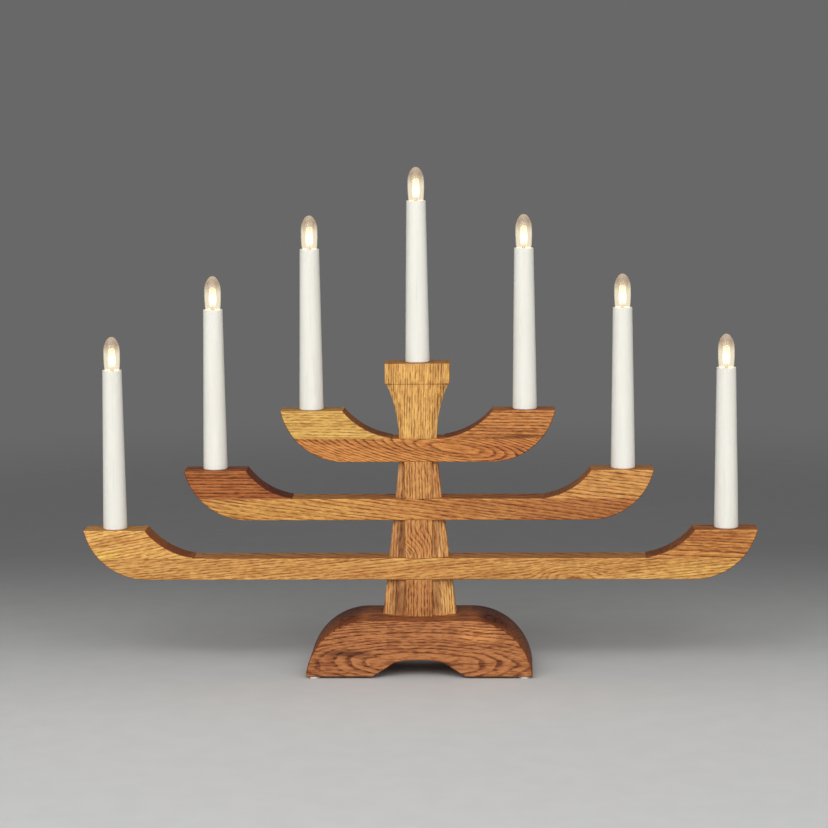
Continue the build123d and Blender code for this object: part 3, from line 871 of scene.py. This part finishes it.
@dataclass
class Base:
    """The base block, its foot pads and the screw under it.

    The block that is seen has the photograph's rounder shoulders and straight-sided arch. It
    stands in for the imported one, with the same width, height, depth, mortise and screw hole.
    """

    flat_half: float = 42.0 * MM
    arch_half: float = 37.0 * MM
    arch_rise: float = 13.5 * MM
    crown_half: float = 19.3 * MM
    flank_rise: float = 11.4 * MM
    arris: float = 0.8 * MM
    mortise: Point = (22.0 * MM, 24.0 * MM, 18.0 * MM)
    recess_radius: float = 4.3 * MM
    recess_depth: float = 3.4 * MM
    bore_radius: float = 2.15 * MM
    bore_depth: float = 16.0 * MM
    shoulder_steps: int = 28
    crown_steps: int = 12
    bore_around: int = 40
    smooth_area: float = 400.0 * MM * MM
    smooth_facing: float = 0.1
    wood: OakBoard = OakBoard(
        name="oak_base",
        tones=("bc7b49", "a06135", "713b1b"),
        heart=(4.0, -9.0, 13.0),
        nose=0.2,
        ring_width=1.7,
        wander=1.8,
        contrast=1.55,
        flecks=0.4,
        seed=3.1,
        tint_patches=(
            TintPatch((-57.0, -30.0, 20.5), (27.0, 16.0, 4.2), (0.34, 0.26, 0.25), 1.0),
            TintPatch((47.0, -30.0, 36.0), (20.0, 12.0, 8.5), (1.45, 1.6, 1.55), 1.0),
            # Painted shade: a darker patch over the top of the right shoulder
            TintPatch((62.0, -6.0, 42.0), (22.0, 22.0, 13.0), (0.5, 0.44, 0.44), 1.0),
            TintPatch((-80.0, -30.0, 10.0), (22.0, 20.0, 14.0), (0.84, 0.78, 0.78), 0.8),
        ),
    )
    pads: Rubber = Rubber("pad_rubber", "e8e6de", "d6d3c8")
    screw: Metal = Metal("screw_steel", "c8c6c0", "8f8d88", roughness=0.34)

    def _outline(self, low: Vector, high: Vector) -> list[Pair]:
        """The block's outline from the front, going round from the middle of the top.

        Args:
            low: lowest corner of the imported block.
            high: its highest corner.

        Returns:
            Points of distance from the middle and height.
        """
        shoulder_start, shoulder_end = (self.flat_half, high[2]), (high[0], low[2])
        shoulder, _ = tangent_arc(shoulder_start, 0.0, shoulder_end, self.shoulder_steps)
        right = [shoulder_start, *shoulder, (self.arch_half, low[2])]
        crown_rise = self.arch_rise - self.flank_rise
        radius = (self.crown_half**2 + crown_rise**2) / (2 * crown_rise)
        widest = math.asin(self.crown_half / radius)
        crown = []
        for step in range(self.crown_steps + 1):
            angle = widest * (1 - 2 * step / self.crown_steps)
            up = low[2] + self.arch_rise - radius * (1 - math.cos(angle))
            crown.append((radius * math.sin(angle), up))
        left = [(-across, up) for across, up in reversed(right)]
        return right + crown + left

    def _solid(self, outline: list[Pair], front: float, back: float) -> bmesh.types.BMesh:
        """Draws the outline through the depth, with the arris taken off at front and back.

        Args:
            outline: points of distance from the middle and height.
            front: where the block starts.
            back: where it ends.

        Returns:
            The mesh, closed at both ends.
        """
        shape = bmesh.new()
        rings = []
        for depth, inset in (
            (front, self.arris),
            (front + self.arris, 0.0),
            (back - self.arris, 0.0),
            (back, self.arris),
        ):
            ring = []
            for place, (across, up) in enumerate(outline):
                before, after = outline[place - 1], outline[(place + 1) % len(outline)]
                way = Vector((after[0] - before[0], after[1] - before[1])).normalized()
                ring.append(shape.verts.new((across + way.y * inset, depth, up - way.x * inset)))
            rings.append(ring)
        wrap(shape, rings)
        shape.faces.new(rings[0])
        shape.faces.new(rings[-1])
        return shape

    def _cut_mortise(self, block: bpy.types.Object, top: float) -> None:
        """Cuts the mortise for the post's foot.

        Args:
            block: the base block.
            top: the height of its top.
        """
        width, depth, height = self.mortise
        hole = bmesh.new()
        bmesh.ops.create_cube(hole, size=1.0, matrix=Matrix.Diagonal((width, depth, 2 * height, 1.0)))
        cut_out(block, finished_piece("mortise_cutter", hole, (0.0, 0.0, top)))

    def _bore_screw_hole(self, block: bpy.types.Object, crown: float) -> None:
        """Bores the hole for the screw, with a wide recess for its head, from below.

        Args:
            block: the base block.
            crown: the height of the arch's crown.
        """
        recess = (self.recess_radius, self.recess_depth)
        bore = (self.bore_radius, self.bore_depth)
        for radius, depth in (recess, bore):
            hole = bmesh.new()
            sizes = {"radius1": radius, "radius2": radius, "depth": 2 * depth}
            bmesh.ops.create_cone(hole, cap_ends=True, segments=self.bore_around, **sizes)
            cut_out(block, finished_piece("screw_cutter", hole, (0.0, 0.0, crown)))

    def _block(self, finish: bpy.types.Material) -> None:
        """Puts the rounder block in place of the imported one.

        Args:
            finish: the wood.
        """
        low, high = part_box("base")
        shape = self._solid(self._outline(low, high), low[1], high[1])
        block = finished_piece("base_block", shape, ORIGIN)
        block.data.materials.append(finish)
        self._cut_mortise(block, high[2])
        self._bore_screw_hole(block, low[2] + self.arch_rise)

        # Only the narrow faces of the shoulders and the arch are smooth
        for face in block.data.polygons:
            narrow = len(face.vertices) == 4 and face.area < self.smooth_area
            face.use_smooth = narrow and abs(face.normal.y) < self.smooth_facing
        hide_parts("base")
        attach(block, "frame")

    def build(self) -> None:
        """Makes the block and dresses the other nodes of the base."""
        wood = self.wood.material()
        dress("base", wood)
        self._block(wood)
        dress("foot_pads", self.pads.material())
        dress("base_screw", self.screw.material())


@dataclass
class Post:
    """The post: centre board, side boards, capital and the strips over the leads."""

    core: OakBoard = OakBoard(
        name="oak_post",
        tones=("d89c5b", "bf8246", "834d25"),
        heart=(-70.0, 20.0, 60.0),
        grain=Grain.UPRIGHT,
        ring_width=2.1,
        wander=1.6,
        pores=0.85,
        flecks=0.42,
        seed=7.3,
        tint_patches=(
            TintPatch((0.0, -12.0, 62.0), (40.0, 40.0, 34.0), (0.86, 0.78, 0.8), 0.9),
            TintPatch((0.0, -12.0, 110.0), (16.0, 14.0, 18.0), (0.88, 0.78, 0.76), 0.9),
        ),
        bends=(Bend((-13.0, -12.0, 121.0), (28.0, 30.0, 26.0), 9.0),),
    )
    left: OakBoard = OakBoard(
        name="oak_left_board",
        tones=("dda569", "c18751", "7e4624"),
        heart=(-40.0, 40.0, 60.0),
        grain=Grain.UPRIGHT,
        slope=4.0,
        ring_width=2.3,
        wander=1.2,
        seed=11.9,
        tint_patches=(
            # Painted shadow, partly darker wood: dark inner bands where the centre board shades the
            # recessed side board
            TintPatch((-14.0, -12.0, 110.0), (4.4, 30.0, 26.0), (0.5, 0.42, 0.4), 0.95),
            TintPatch((-15.5, -12.0, 62.0), (6.0, 30.0, 26.0), (0.55, 0.46, 0.42), 0.95),
            # Painted highlight: the light outer band where the bevelled edge catches the side light
            TintPatch((-25.5, -12.0, 62.0), (5.0, 30.0, 28.0), (1.25, 1.3, 1.15), 0.9),
        ),
    )
    right: OakBoard = OakBoard(
        name="oak_right_board",
        tones=("f0bc76", "d29658", "874e27"),
        heart=(42.0, 40.0, 60.0),
        grain=Grain.UPRIGHT,
        slope=-4.0,
        ring_width=2.3,
        wander=1.2,
        seed=14.2,
        tint_patches=(
            # Painted shadow, partly darker wood: dark inner bands where the centre board shades the
            # recessed side board
            TintPatch((14.0, -12.0, 158.0), (7.0, 30.0, 16.0), (0.8, 0.66, 0.62), 0.8),
            TintPatch((14.5, -12.0, 110.0), (4.6, 30.0, 26.0), (0.62, 0.5, 0.46), 0.95),
            TintPatch((14.5, -12.0, 62.0), (3.6, 30.0, 26.0), (0.5, 0.43, 0.4), 0.95),
            # Painted highlight: the light outer band where the bevelled edge catches the side light
            TintPatch((25.0, -12.0, 62.0), (6.0, 30.0, 28.0), (1.25, 1.4, 1.25), 0.9),
        ),
    )
    top: OakBoard = OakBoard(
        name="oak_capital",
        tones=("eebb6c", "d19a52", "95612e"),
        heart=(-90.0, 24.0, 230.0),
        grain=Grain.UPRIGHT,
        slope=2.0,
        ring_width=1.8,
        wander=0.9,
        contrast=0.75,
        pores=0.8,
        seed=19.4,
        # Painted shadow: a thin dark line across the front under the ledge of the head
        tint_patches=(TintPatch((0.0, -12.0, 235.9), (60.0, 6.0, 0.7), (0.5, 0.4, 0.36), 0.8),),
    )
    strips: OakBoard = OakBoard(
        name="oak_covers",
        tones=("d3a164", "b98550", "83522b"),
        heart=(0.0, 60.0, 120.0),
        ring_width=2.2,
        wander=1.2,
        seed=23.7,
    )
    upright_strip: OakBoard = replace(
        strips, name="oak_covers_upright", grain=Grain.UPRIGHT, wander=2.0, seed=29.1
    )

    def build(self) -> None:
        """Dresses the nodes of the post, and the strips at the back."""
        dress("post_core", self.core.material())
        dress("post_left_board", self.left.material())
        dress("post_right_board", self.right.material())
        dress("capital", self.top.material())
        strip_wood = self.strips.material()
        for node in ("low_covers", "middle_covers", "top_covers"):
            dress(node, strip_wood)
        dress("post_cover", self.upright_strip.material())


@dataclass
class Arm:
    """One arm: a bar right across, and a block glued on each end."""

    level: str
    bar: OakBoard
    left: OakBoard
    right: OakBoard

    def build(self) -> None:
        """Dresses the three pieces of the arm."""
        dress(f"{self.level}_bar", self.bar.material())
        dress(f"{self.level}_left_block", self.left.material())
        dress(f"{self.level}_right_block", self.right.material())


def low_arm() -> Arm:
    """The long lower arm: honey gold, with a redder block on the right.

    Returns:
        The arm, ready to build.
    """
    bar = OakBoard(
        name="oak_low_bar",
        tones=("deab62", "c68b48", "915a26"),
        heart=(40.0, 26.0, -26.0),
        slope=5.0,
        dive=2.0,
        nose=0.02,
        ring_width=2.2,
        wander=1.3,
        contrast=0.7,
        seed=31.5,
        tint_patches=(
            TintPatch((-20.0, -12.0, 84.0), (90.0, 40.0, 14.0), (0.94, 0.87, 0.86), 0.8),
            TintPatch((-140.0, -12.0, 78.0), (120.0, 40.0, 3.0), (1.1, 1.14, 1.1), 0.8),
            TintPatch((240.0, -12.0, 84.0), (80.0, 30.0, 16.0), (1.12, 1.22, 1.16), 0.9),
        ),
        bends=(Bend((120.0, -12.0, 84.0), (34.0, 30.0, 12.0), -7.0),),
    )
    left = OakBoard(
        name="oak_low_left",
        tones=("f1c170", "dba356", "a56b2f"),
        heart=(-200.0, 40.0, 20.0),
        slope=11.0,
        ring_width=2.1,
        wander=0.9,
        contrast=0.7,
        # Painted shade: a darker cut tint shades the inner curved face, over the end grain's own darkening
        end_grain_and_shade_tint=(0.4, 0.2, 0.12),
        seed=37.2,
        tint_patches=(
            TintPatch((-236.0, -12.0, 108.0), (34.0, 30.0, 7.0), (0.9, 0.82, 0.8), 0.8),
            TintPatch((-254.0, -12.0, 97.0), (20.0, 30.0, 6.0), (1.1, 1.22, 1.0), 0.8),
        ),
    )
    right = OakBoard(
        name="oak_low_right",
        tones=("d3954f", "b57236", "753d17"),
        heart=(210.0, 30.0, 30.0),
        slope=-2.5,
        ring_width=2.4,
        wander=1.2,
        contrast=1.05,
        seed=41.8,
        tint_patches=(TintPatch((236.0, -12.0, 112.0), (40.0, 30.0, 6.0), (0.8, 0.68, 0.66), 0.8),),
    )
    return Arm("low", bar, left, right)


def middle_arm() -> Arm:
    """The middle arm: gold on the left and red-brown on the right, under a dark left block.

    Returns:
        The arm, ready to build.
    """
    bar = OakBoard(
        name="oak_middle_bar",
        tones=("d69e56", "bc7e3e", "82481d"),
        heart=(-60.0, 30.0, 60.0),
        slope=-8.0,
        nose=0.015,
        ring_width=2.5,
        wander=2.0,
        contrast=1.0,
        seed=43.6,
        tint_patches=(
            TintPatch((160.0, -12.0, 136.0), (190.0, 60.0, 40.0), (0.74, 0.58, 0.58), 1.0),
            TintPatch((0.0, -12.0, 136.0), (60.0, 60.0, 30.0), (0.95, 0.86, 0.84), 0.8),
            TintPatch((-110.0, -12.0, 136.0), (100.0, 40.0, 30.0), (1.1, 1.2, 1.15), 0.8),
        ),
    )
    left = OakBoard(
        name="oak_middle_left",
        tones=("b76e38", "985424", "5b290d"),
        heart=(-150.0, 34.0, 60.0),
        slope=-0.5,
        ring_width=2.3,
        wander=1.0,
        contrast=1.15,
        # Painted shade: a darker cut tint shades the inner curved face, over the end grain's own darkening
        end_grain_and_shade_tint=(0.42, 0.27, 0.2),
        seed=47.9,
    )
    right = OakBoard(
        name="oak_middle_right",
        tones=("dca25e", "c48746", "8c5425"),
        heart=(150.0, 40.0, 90.0),
        slope=-7.0,
        ring_width=2.2,
        wander=1.0,
        seed=53.3,
    )
    return Arm("middle", bar, left, right)


def top_arm() -> Arm:
    """The short upper arm: red-brown with arches on the right, and a pale edge on the left.

    Returns:
        The arm, ready to build.
    """
    bar = OakBoard(
        name="oak_top_bar",
        tones=("d7924d", "b97337", "753d17"),
        heart=(30.0, -4.0, 184.0),
        slope=-8.0,
        nose=0.2,
        ring_width=1.3,
        wander=0.8,
        contrast=1.1,
        seed=59.7,
        tint_patches=(
            TintPatch((-72.0, -12.0, 173.0), (52.0, 30.0, 5.5), (1.3, 1.42, 1.4), 0.95),
            TintPatch((72.0, -12.0, 182.0), (46.0, 30.0, 14.0), (0.85, 0.74, 0.78), 0.8),
        ),
    )
    left = OakBoard(
        name="oak_top_left",
        tones=("e4bb68", "d09f51", "a27131"),
        heart=(-80.0, 40.0, 100.0),
        slope=-1.0,
        ring_width=1.9,
        wander=0.8,
        contrast=0.7,
        # Painted shade: a darker cut tint shades the inner curved face, over the end grain's own darkening
        end_grain_and_shade_tint=(0.38, 0.2, 0.13),
        seed=61.1,
    )
    right = OakBoard(
        name="oak_top_right",
        tones=("d19052", "b36f35", "763b17"),
        heart=(80.0, 34.0, 120.0),
        slope=-1.5,
        ring_width=2.3,
        wander=1.0,
        contrast=1.1,
        seed=67.5,
        tint_patches=(TintPatch((84.0, -12.0, 193.5), (36.0, 30.0, 2.4), (0.42, 0.36, 0.36), 0.95),),
    )
    return Arm("top", bar, left, right)


@dataclass
class Candles:
    """The seven sleeves with their lamp holders."""

    sleeve: MouldedPlastic = MouldedPlastic("sleeve_plastic", "f2efe5", "ece9de", glow=0.12)
    holder: MouldedPlastic = MouldedPlastic("holder_plastic", "e4e0d2", "dad5c4", roughness=0.42)
    brass: Metal = Metal("shell_brass", "d9b264", "a98043", roughness=0.28)

    def build(self) -> None:
        """Dresses the sleeves, the holders and their metal."""
        sleeve = self.sleeve.material()
        holder = self.holder.material()
        brass = self.brass.material()
        for number in CANDLES:
            dress(f"sleeve_{number}", sleeve)
            dress(f"holder_{number}", holder)
        dress("holder_shells", brass)
        dress("holder_contacts", brass)


class CapPart(Enum):
    """The parts of a lamp cap, with the number of each one's finish."""

    METAL = 0
    INSULATOR = 1
    SOLDER = 2


@dataclass(frozen=True)
class CapRow:
    """One row of points round a lamp cap.

    Depth is how far it lies under the cap's rim, thread is the share of the thread on it, and
    part is what the faces under it belong to.
    """

    radius: float
    depth: float
    thread: float = 0.0
    part: CapPart = CapPart.METAL


@dataclass
class Lamps:
    """The seven lamps: glass, rolled screw cap, and the filament with its glow.

    The glass is drawn from the sleeve's rim up and the cap from its own rim down. Shares of the
    nose and the shoulder are of the belly's radius and of the tip's height.
    """

    belly: float = 6.7 * MM
    mouth: float = 5.95 * MM
    neck: float = 4.34 * MM
    neck_top: float = -4.3 * MM
    neck_foot: float = -8.4 * MM
    wall: float = 0.6 * MM
    point_share: float = 0.004
    nose_shares: Pair = (0.445, 0.949)
    shoulder_shares: Pair = (0.963, 0.626)
    nose_steps: int = 10
    flank_steps: int = 14
    side_steps: int = 12
    glass_around: int = 48
    thread_pitch: float = 1.814 * MM
    thread_depth: float = 0.27 * MM
    thread_band: float = 1.0 * MM
    skirt_share: float = 0.8
    bore_share: float = 0.932
    insulator_share: float = 0.56
    cone_share: float = 0.93
    button_share: float = 0.33
    button_row_shares: tuple[Pair, ...] = ((1.0, 0.93), (0.94, 0.98), (0.6, 1.0))
    rows_in_pitch: int = 12
    cap_around: int = 72
    glow_radii: tuple[float, ...] = (1.3 * MM, 2.2 * MM, 3.1 * MM)
    glow_lift: float = 0.4 * MM
    glow_share: float = 0.68
    glow_core_share: float = 0.7
    glow_foot_share: float = 0.12
    glow_point_share: float = 0.02
    glow_steps: int = 16
    glow_around: int = 32
    glass: LampGlass = LampGlass()
    glow: Glow = Glow()
    wire: HotWire = HotWire()
    cap: Metal = Metal("cap_nickel", "cfcac0", "a19c92", roughness=0.22)
    insulator: MouldedPlastic = MouldedPlastic("cap_insulator", "1b1a1c", "121114", roughness=0.22)
    solder: Metal = Metal("cap_solder", "b9b8b4", "7f7e7b", roughness=0.36)

    def build(self) -> None:
        """Makes and dresses all seven lamps."""
        glass = self.glass.material()
        glow = self.glow.material()
        wire = self.wire.material()
        cap_finishes = [finish.material() for finish in (self.cap, self.insulator, self.solder)]
        for number in CANDLES:
            dress(f"bulb_glass_{number}", glass)
            dress(f"filament_{number}", wire)
            dress(f"bulb_cap_{number}", cap_finishes[0])
            self._envelope(number, glass)
            self._screw_cap(number, cap_finishes)
            self._glow(number, glow)

    def _glass_outline(self, tip: float, inset: float) -> list[Pair]:
        """The outline of the lamp glass from its tip to its foot.

        Args:
            tip: the tip's height over the sleeve's rim.
            inset: how far the outline is drawn in.

        Returns:
            Points of radius and height.
        """
        belly, top, neck = self.belly - inset, tip - inset, self.neck - inset
        nose = (belly * self.nose_shares[0], top * self.nose_shares[1])
        shoulder = (belly * self.shoulder_shares[0], top * self.shoulder_shares[1])
        crown, heading = tangent_arc((0.0, top), 0.0, nose, self.nose_steps)
        flank, heading = tangent_arc(nose, heading, shoulder, self.flank_steps)
        side, _ = tangent_arc(shoulder, heading, (self.mouth - inset, 0.0), self.side_steps)
        foot = [(neck, self.neck_top), (neck, self.neck_foot)]
        return [(self.point_share * belly, top), *crown, *flank, *side, *foot]

    def _envelope(self, number: int, finish: bpy.types.Material) -> None:
        """Puts a thin blown envelope in place of one lamp's glass.

        Args:
            number: which lamp, from the left.
            finish: the glass.
        """
        node = f"bulb_glass_{number}"
        low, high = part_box(node)
        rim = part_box(f"sleeve_{number}")[1][2]
        outer = self._glass_outline(high[2] - rim, 0.0)
        inner = self._glass_outline(high[2] - rim, self.wall)
        centre = ((low[0] + high[0]) / 2, 0.0, rim)
        piece = turned_piece(f"lamp_envelope_{number}", [outer + inner[::-1]], centre, self.glass_around)
        piece.data.materials.append(finish)
        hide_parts(node)
        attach(piece, f"bulb_{number}")

    def _cap_rows(self, radius: float, height: float) -> list[CapRow]:
        """The rows of a cap: up inside the skirt, then down the thread to the solder button.

        Args:
            radius: the cap's radius over the thread.
            height: the cap's height.

        Returns:
            The rows.
        """
        skirt = self.skirt_share * height
        bore = self.bore_share * radius
        rows = [CapRow(bore, skirt - self.thread_band), CapRow(bore, 0.0)]
        count = round(skirt / self.thread_pitch * self.rows_in_pitch)
        for row in range(count):
            depth = skirt * row / count
            thread = min(1.0, depth / self.thread_band, (skirt - depth) / self.thread_band)
            rows.append(CapRow(radius, depth, thread**2))
        rows.append(CapRow(radius, skirt, part=CapPart.INSULATOR))
        cone_foot = self.cone_share * height
        rows.append(CapRow(self.insulator_share * radius, cone_foot, part=CapPart.INSULATOR))
        button = self.button_share * radius
        for width_share, depth_share in self.button_row_shares:
            rows.append(CapRow(button * width_share, depth_share * height, part=CapPart.SOLDER))
        return rows

    def _screw_cap(self, number: int, finishes: list[bpy.types.Material]) -> None:
        """Puts a rolled screw cap with its insulator and solder button in place of the plain one.

        Args:
            number: which lamp, from the left.
            finishes: metal of the cap, its insulator and its solder.
        """
        node = f"bulb_cap_{number}"
        low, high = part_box(node)
        rows = self._cap_rows((high[0] - low[0]) / 2, high[2] - low[2])
        shape = bmesh.new()
        rings = []
        for row in rows:
            ring = []
            for step in range(self.cap_around):
                turn = 2 * math.pi * step / self.cap_around
                wave = 0.5 - 0.5 * math.cos(2 * math.pi * row.depth / self.thread_pitch + turn)
                reach = row.radius - self.thread_depth * wave * row.thread
                ring.append(shape.verts.new((reach * math.cos(turn), reach * math.sin(turn), -row.depth)))
            rings.append(ring)
        wrap(shape, rings, [row.part.value for row in rows])
        shape.faces.new(rings[0])
        shape.faces.new(rings[-1]).material_index = rows[-1].part.value
        piece = finished_piece(f"screw_cap_{number}", shape, ((low[0] + high[0]) / 2, 0.0, high[2]))
        for finish in finishes:
            piece.data.materials.append(finish)
        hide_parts(node)
        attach(piece, f"bulb_{number}_lift")

    def _glow(self, number: int, finish: bpy.types.Material) -> None:
        """Adds the soft light round one filament.

        Args:
            number: which lamp, from the left.
            finish: the glow's material.
        """
        low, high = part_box(f"bulb_glass_{number}")
        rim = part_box(f"sleeve_{number}")[1][2]
        outlines = []
        for radius in self.glow_radii:
            fullness = radius / self.glow_radii[-1]
            reach = self.glow_core_share + (1 - self.glow_core_share) * fullness
            height = (high[2] - rim) * self.glow_share * reach
            outline = []
            for step in range(self.glow_steps + 1):
                share = step / self.glow_steps
                angle = math.pi * (self.glow_foot_share + (1 - self.glow_foot_share) * share)
                width = max(self.glow_point_share, abs(math.sin(angle)) ** 0.5)
                outline.append((radius * width, height * share))
            outlines.append(outline)
        centre = ((low[0] + high[0]) / 2, 0.0, rim + self.glow_lift)
        piece = turned_piece(f"lamp_glow_{number}", outlines, centre, self.glow_around)
        piece.data.materials.append(finish)
        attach(piece, f"bulb_{number}")


@dataclass
class Wiring:
    """The leads in the sleeves and channels."""

    sheath: Rubber = Rubber("lead_sheath", "ecebe6", "dddbd4")

    def build(self) -> None:
        """Dresses the leads."""
        sheath = self.sheath.material()
        dress("arm_leads", sheath)
        dress("post_lead", sheath)


@dataclass(frozen=True)
class SoftBox:
    """One soft lamp, with its width and height, and its power in watts."""

    name: str
    place: Point
    size: Pair
    power: float

    def hang(self, aim: Point) -> None:
        """Hangs the lamp at its place.

        Args:
            aim: what it points at.
        """
        lamp = bpy.data.lights.new(self.name, "AREA")
        lamp.shape = "RECTANGLE"
        lamp.size, lamp.size_y = self.size
        lamp.energy = self.power
        holder = bpy.data.objects.new(self.name, lamp)
        holder.location = self.place
        towards = Vector(aim) - Vector(self.place)
        holder.rotation_euler = towards.to_track_quat("-Z", "Y").to_euler()
        holder.visible_camera = False
        bpy.context.scene.collection.objects.link(holder)


@dataclass
class Studio:
    """Pale floor, plain grey surround, soft lamps and the camera.

    The floor's colour is a painted pool of light, palest near its middle and darker further off, and the
    floor fades out of sight between fade_start and fade_end.
    Angles are in radians. The camera's focal length and shift are in pixels of the photograph.
    """

    key: SoftBox = SoftBox("key", (-1.15, -1.65, 1.45), (1.8, 1.5), 23.5)
    fill: SoftBox = SoftBox("fill", (1.25, -1.65, 1.35), (1.8, 1.5), 15.5)
    front: SoftBox = SoftBox("front", (0.1, -2.4, 1.9), (2.4, 1.2), 25.0)
    aim: Point = (0.0, 0.0, 0.18)
    floor_radius: float = 3.0
    floor_sides: int = 96
    floor_colour: str = "cbcbca"
    # Grey that the painted pool of light on the floor darkens to
    floor_far_shade: str = "7a7a7a"
    floor_roughness: float = 0.85
    floor_shine: float = 0.2
    tooth_waves: Point = (40.0, 40.0, 40.0)
    tooth_lightness: Pair = (0.97, 1.0)
    # Painted pool of light on the floor: its middle, its stretch, and where it starts and ends
    lit_pool_middle: Point = (0.15, -0.35, 0.0)
    lit_pool_stretch: Point = (0.35, 1.0, 1.0)
    lit_pool_start: float = 0.16
    lit_pool_end: float = 0.9
    fade_start: float = 0.8
    fade_end: float = 1.5
    surround: str = "686868"
    ambient: float = 0.5
    ambient_low: float = 0.06
    ambient_from: Point = (0.0, -0.6, 0.8)
    ambient_edges: Pair = (-0.1, 0.9)
    image_width: float = 828.0
    focal_pixels: float = 2490.0
    shift_pixels: float = -120.0
    sensor_width: float = 36.0
    camera_place: Point = (0.0811, -1.9886, 0.4924)
    camera_pitch: float = 0.0927
    camera_yaw: float = -0.0419
    camera_roll: float = -0.0099

    def build(self) -> None:
        """Sets up the floor, the surround, the lamps and the camera."""
        self._floor()
        self._surround()
        for box in (self.key, self.fill, self.front):
            box.hang(self.aim)
        self._camera()

    def _floor(self) -> None:
        """Lays the floor: a painted pool of light makes it pale near the object and darker further off, and
        it fades into the surround.
        """
        shape = bmesh.new()
        bmesh.ops.create_circle(shape, cap_ends=True, radius=self.floor_radius, segments=self.floor_sides)
        floor = finished_piece("floor", shape, ORIGIN)
        bench = Workbench(bpy.data.materials.new("floor_paper"))
        place = bench.place()
        # Painted pool of light: the floor's colour darkens with distance from the pool's middle
        from_lit_pool = bench.vector("SUBTRACT", place, self.lit_pool_middle)
        lit_pool_reach = bench.length(bench.vector("MULTIPLY", from_lit_pool, self.lit_pool_stretch))
        painted_falloff_share = bench.stretch(self.lit_pool_start, self.lit_pool_end, lit_pool_reach)
        paper = bench.blend(painted_falloff_share, srgb(self.floor_colour), srgb(self.floor_far_shade))
        tooth = bench.noise(place, self.tooth_waves, detail=3.0, seed=1.0)
        lightness = bench.stretch(0.3, 0.7, tooth, *self.tooth_lightness)
        finish = bench.finish(
            {
                "Base Color": bench.blend(1.0, paper, lightness, "MULTIPLY"),
                "Roughness": self.floor_roughness,
                "Specular IOR Level": self.floor_shine,
                "Alpha": bench.stretch(self.fade_end, self.fade_start, bench.length(place)),
            }
        )
        floor.data.materials.append(finish)

    def _surround(self) -> None:
        """Sets the surround: plain grey where it is seen, plain soft light on the object."""
        world = bpy.data.worlds.new("surround")
        bpy.context.scene.world = world
        bench = Workbench(world, "ShaderNodeOutputWorld")
        rays = bench.node("ShaderNodeLightPath").outputs
        mirrored = bench.maths("MAXIMUM", rays["Is Glossy Ray"], rays["Is Transmission Ray"])
        seen = bench.maths("MAXIMUM", rays["Is Camera Ray"], mirrored)
        direction = bench.node("ShaderNodeTexCoord").outputs["Generated"]
        inputs = {
            "Value": bench.facing(direction, self.ambient_from),
            "From Min": self.ambient_edges[0],
            "From Max": self.ambient_edges[1],
            "To Min": self.ambient_low,
            "To Max": self.ambient,
        }
        strength = bench.node("ShaderNodeMapRange", inputs).outputs["Result"]
        light = bench.node("ShaderNodeBackground", {"Color": WHITE, "Strength": strength})
        grey = bench.node("ShaderNodeBackground", {"Color": srgb(self.surround)})
        choice = {0: seen, 1: light.outputs[0], 2: grey.outputs[0]}
        bench.send(bench.node("ShaderNodeMixShader", choice).outputs[0])

    def _camera(self) -> None:
        """Places the camera where the photograph was taken from."""
        lens = bpy.data.cameras.new("camera")
        lens.sensor_width = self.sensor_width
        lens.lens = self.focal_pixels * self.sensor_width / self.image_width
        lens.shift_y = self.shift_pixels / self.image_width
        camera = bpy.data.objects.new("camera", lens)
        pitch, yaw, roll = self.camera_pitch, self.camera_yaw, self.camera_roll
        ahead = Vector((math.sin(yaw) * math.cos(pitch), math.cos(yaw) * math.cos(pitch), -math.sin(pitch)))
        level = Vector((math.cos(yaw), -math.sin(yaw), 0.0))
        upright = level.cross(ahead)
        right = math.cos(roll) * level + math.sin(roll) * upright
        above = math.cos(roll) * upright - math.sin(roll) * level
        turn = Matrix((right, above, -ahead)).transposed()
        camera.matrix_world = Matrix.Translation(self.camera_place) @ turn.to_4x4()
        bpy.context.scene.collection.objects.link(camera)
        bpy.context.scene.camera = camera


def main() -> None:
    """Builds the scene, one sub-assembly after the other."""
    logging.basicConfig(level=logging.INFO, format="%(name)s: %(message)s")
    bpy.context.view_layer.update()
    bpy.context.scene.view_settings.view_transform = "Standard"
    parts = [Base(), Post(), low_arm(), middle_arm(), top_arm(), Candles(), Lamps(), Wiring(), Studio()]
    for part in parts:
        part.build()
        log.info("built %s", type(part).__name__)


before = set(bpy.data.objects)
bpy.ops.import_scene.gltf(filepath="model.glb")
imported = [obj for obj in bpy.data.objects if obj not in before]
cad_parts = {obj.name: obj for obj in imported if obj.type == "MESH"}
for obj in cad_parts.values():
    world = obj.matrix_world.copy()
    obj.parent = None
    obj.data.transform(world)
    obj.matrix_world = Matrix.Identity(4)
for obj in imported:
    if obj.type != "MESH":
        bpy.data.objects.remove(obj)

if __name__ == "__main__":
    main()
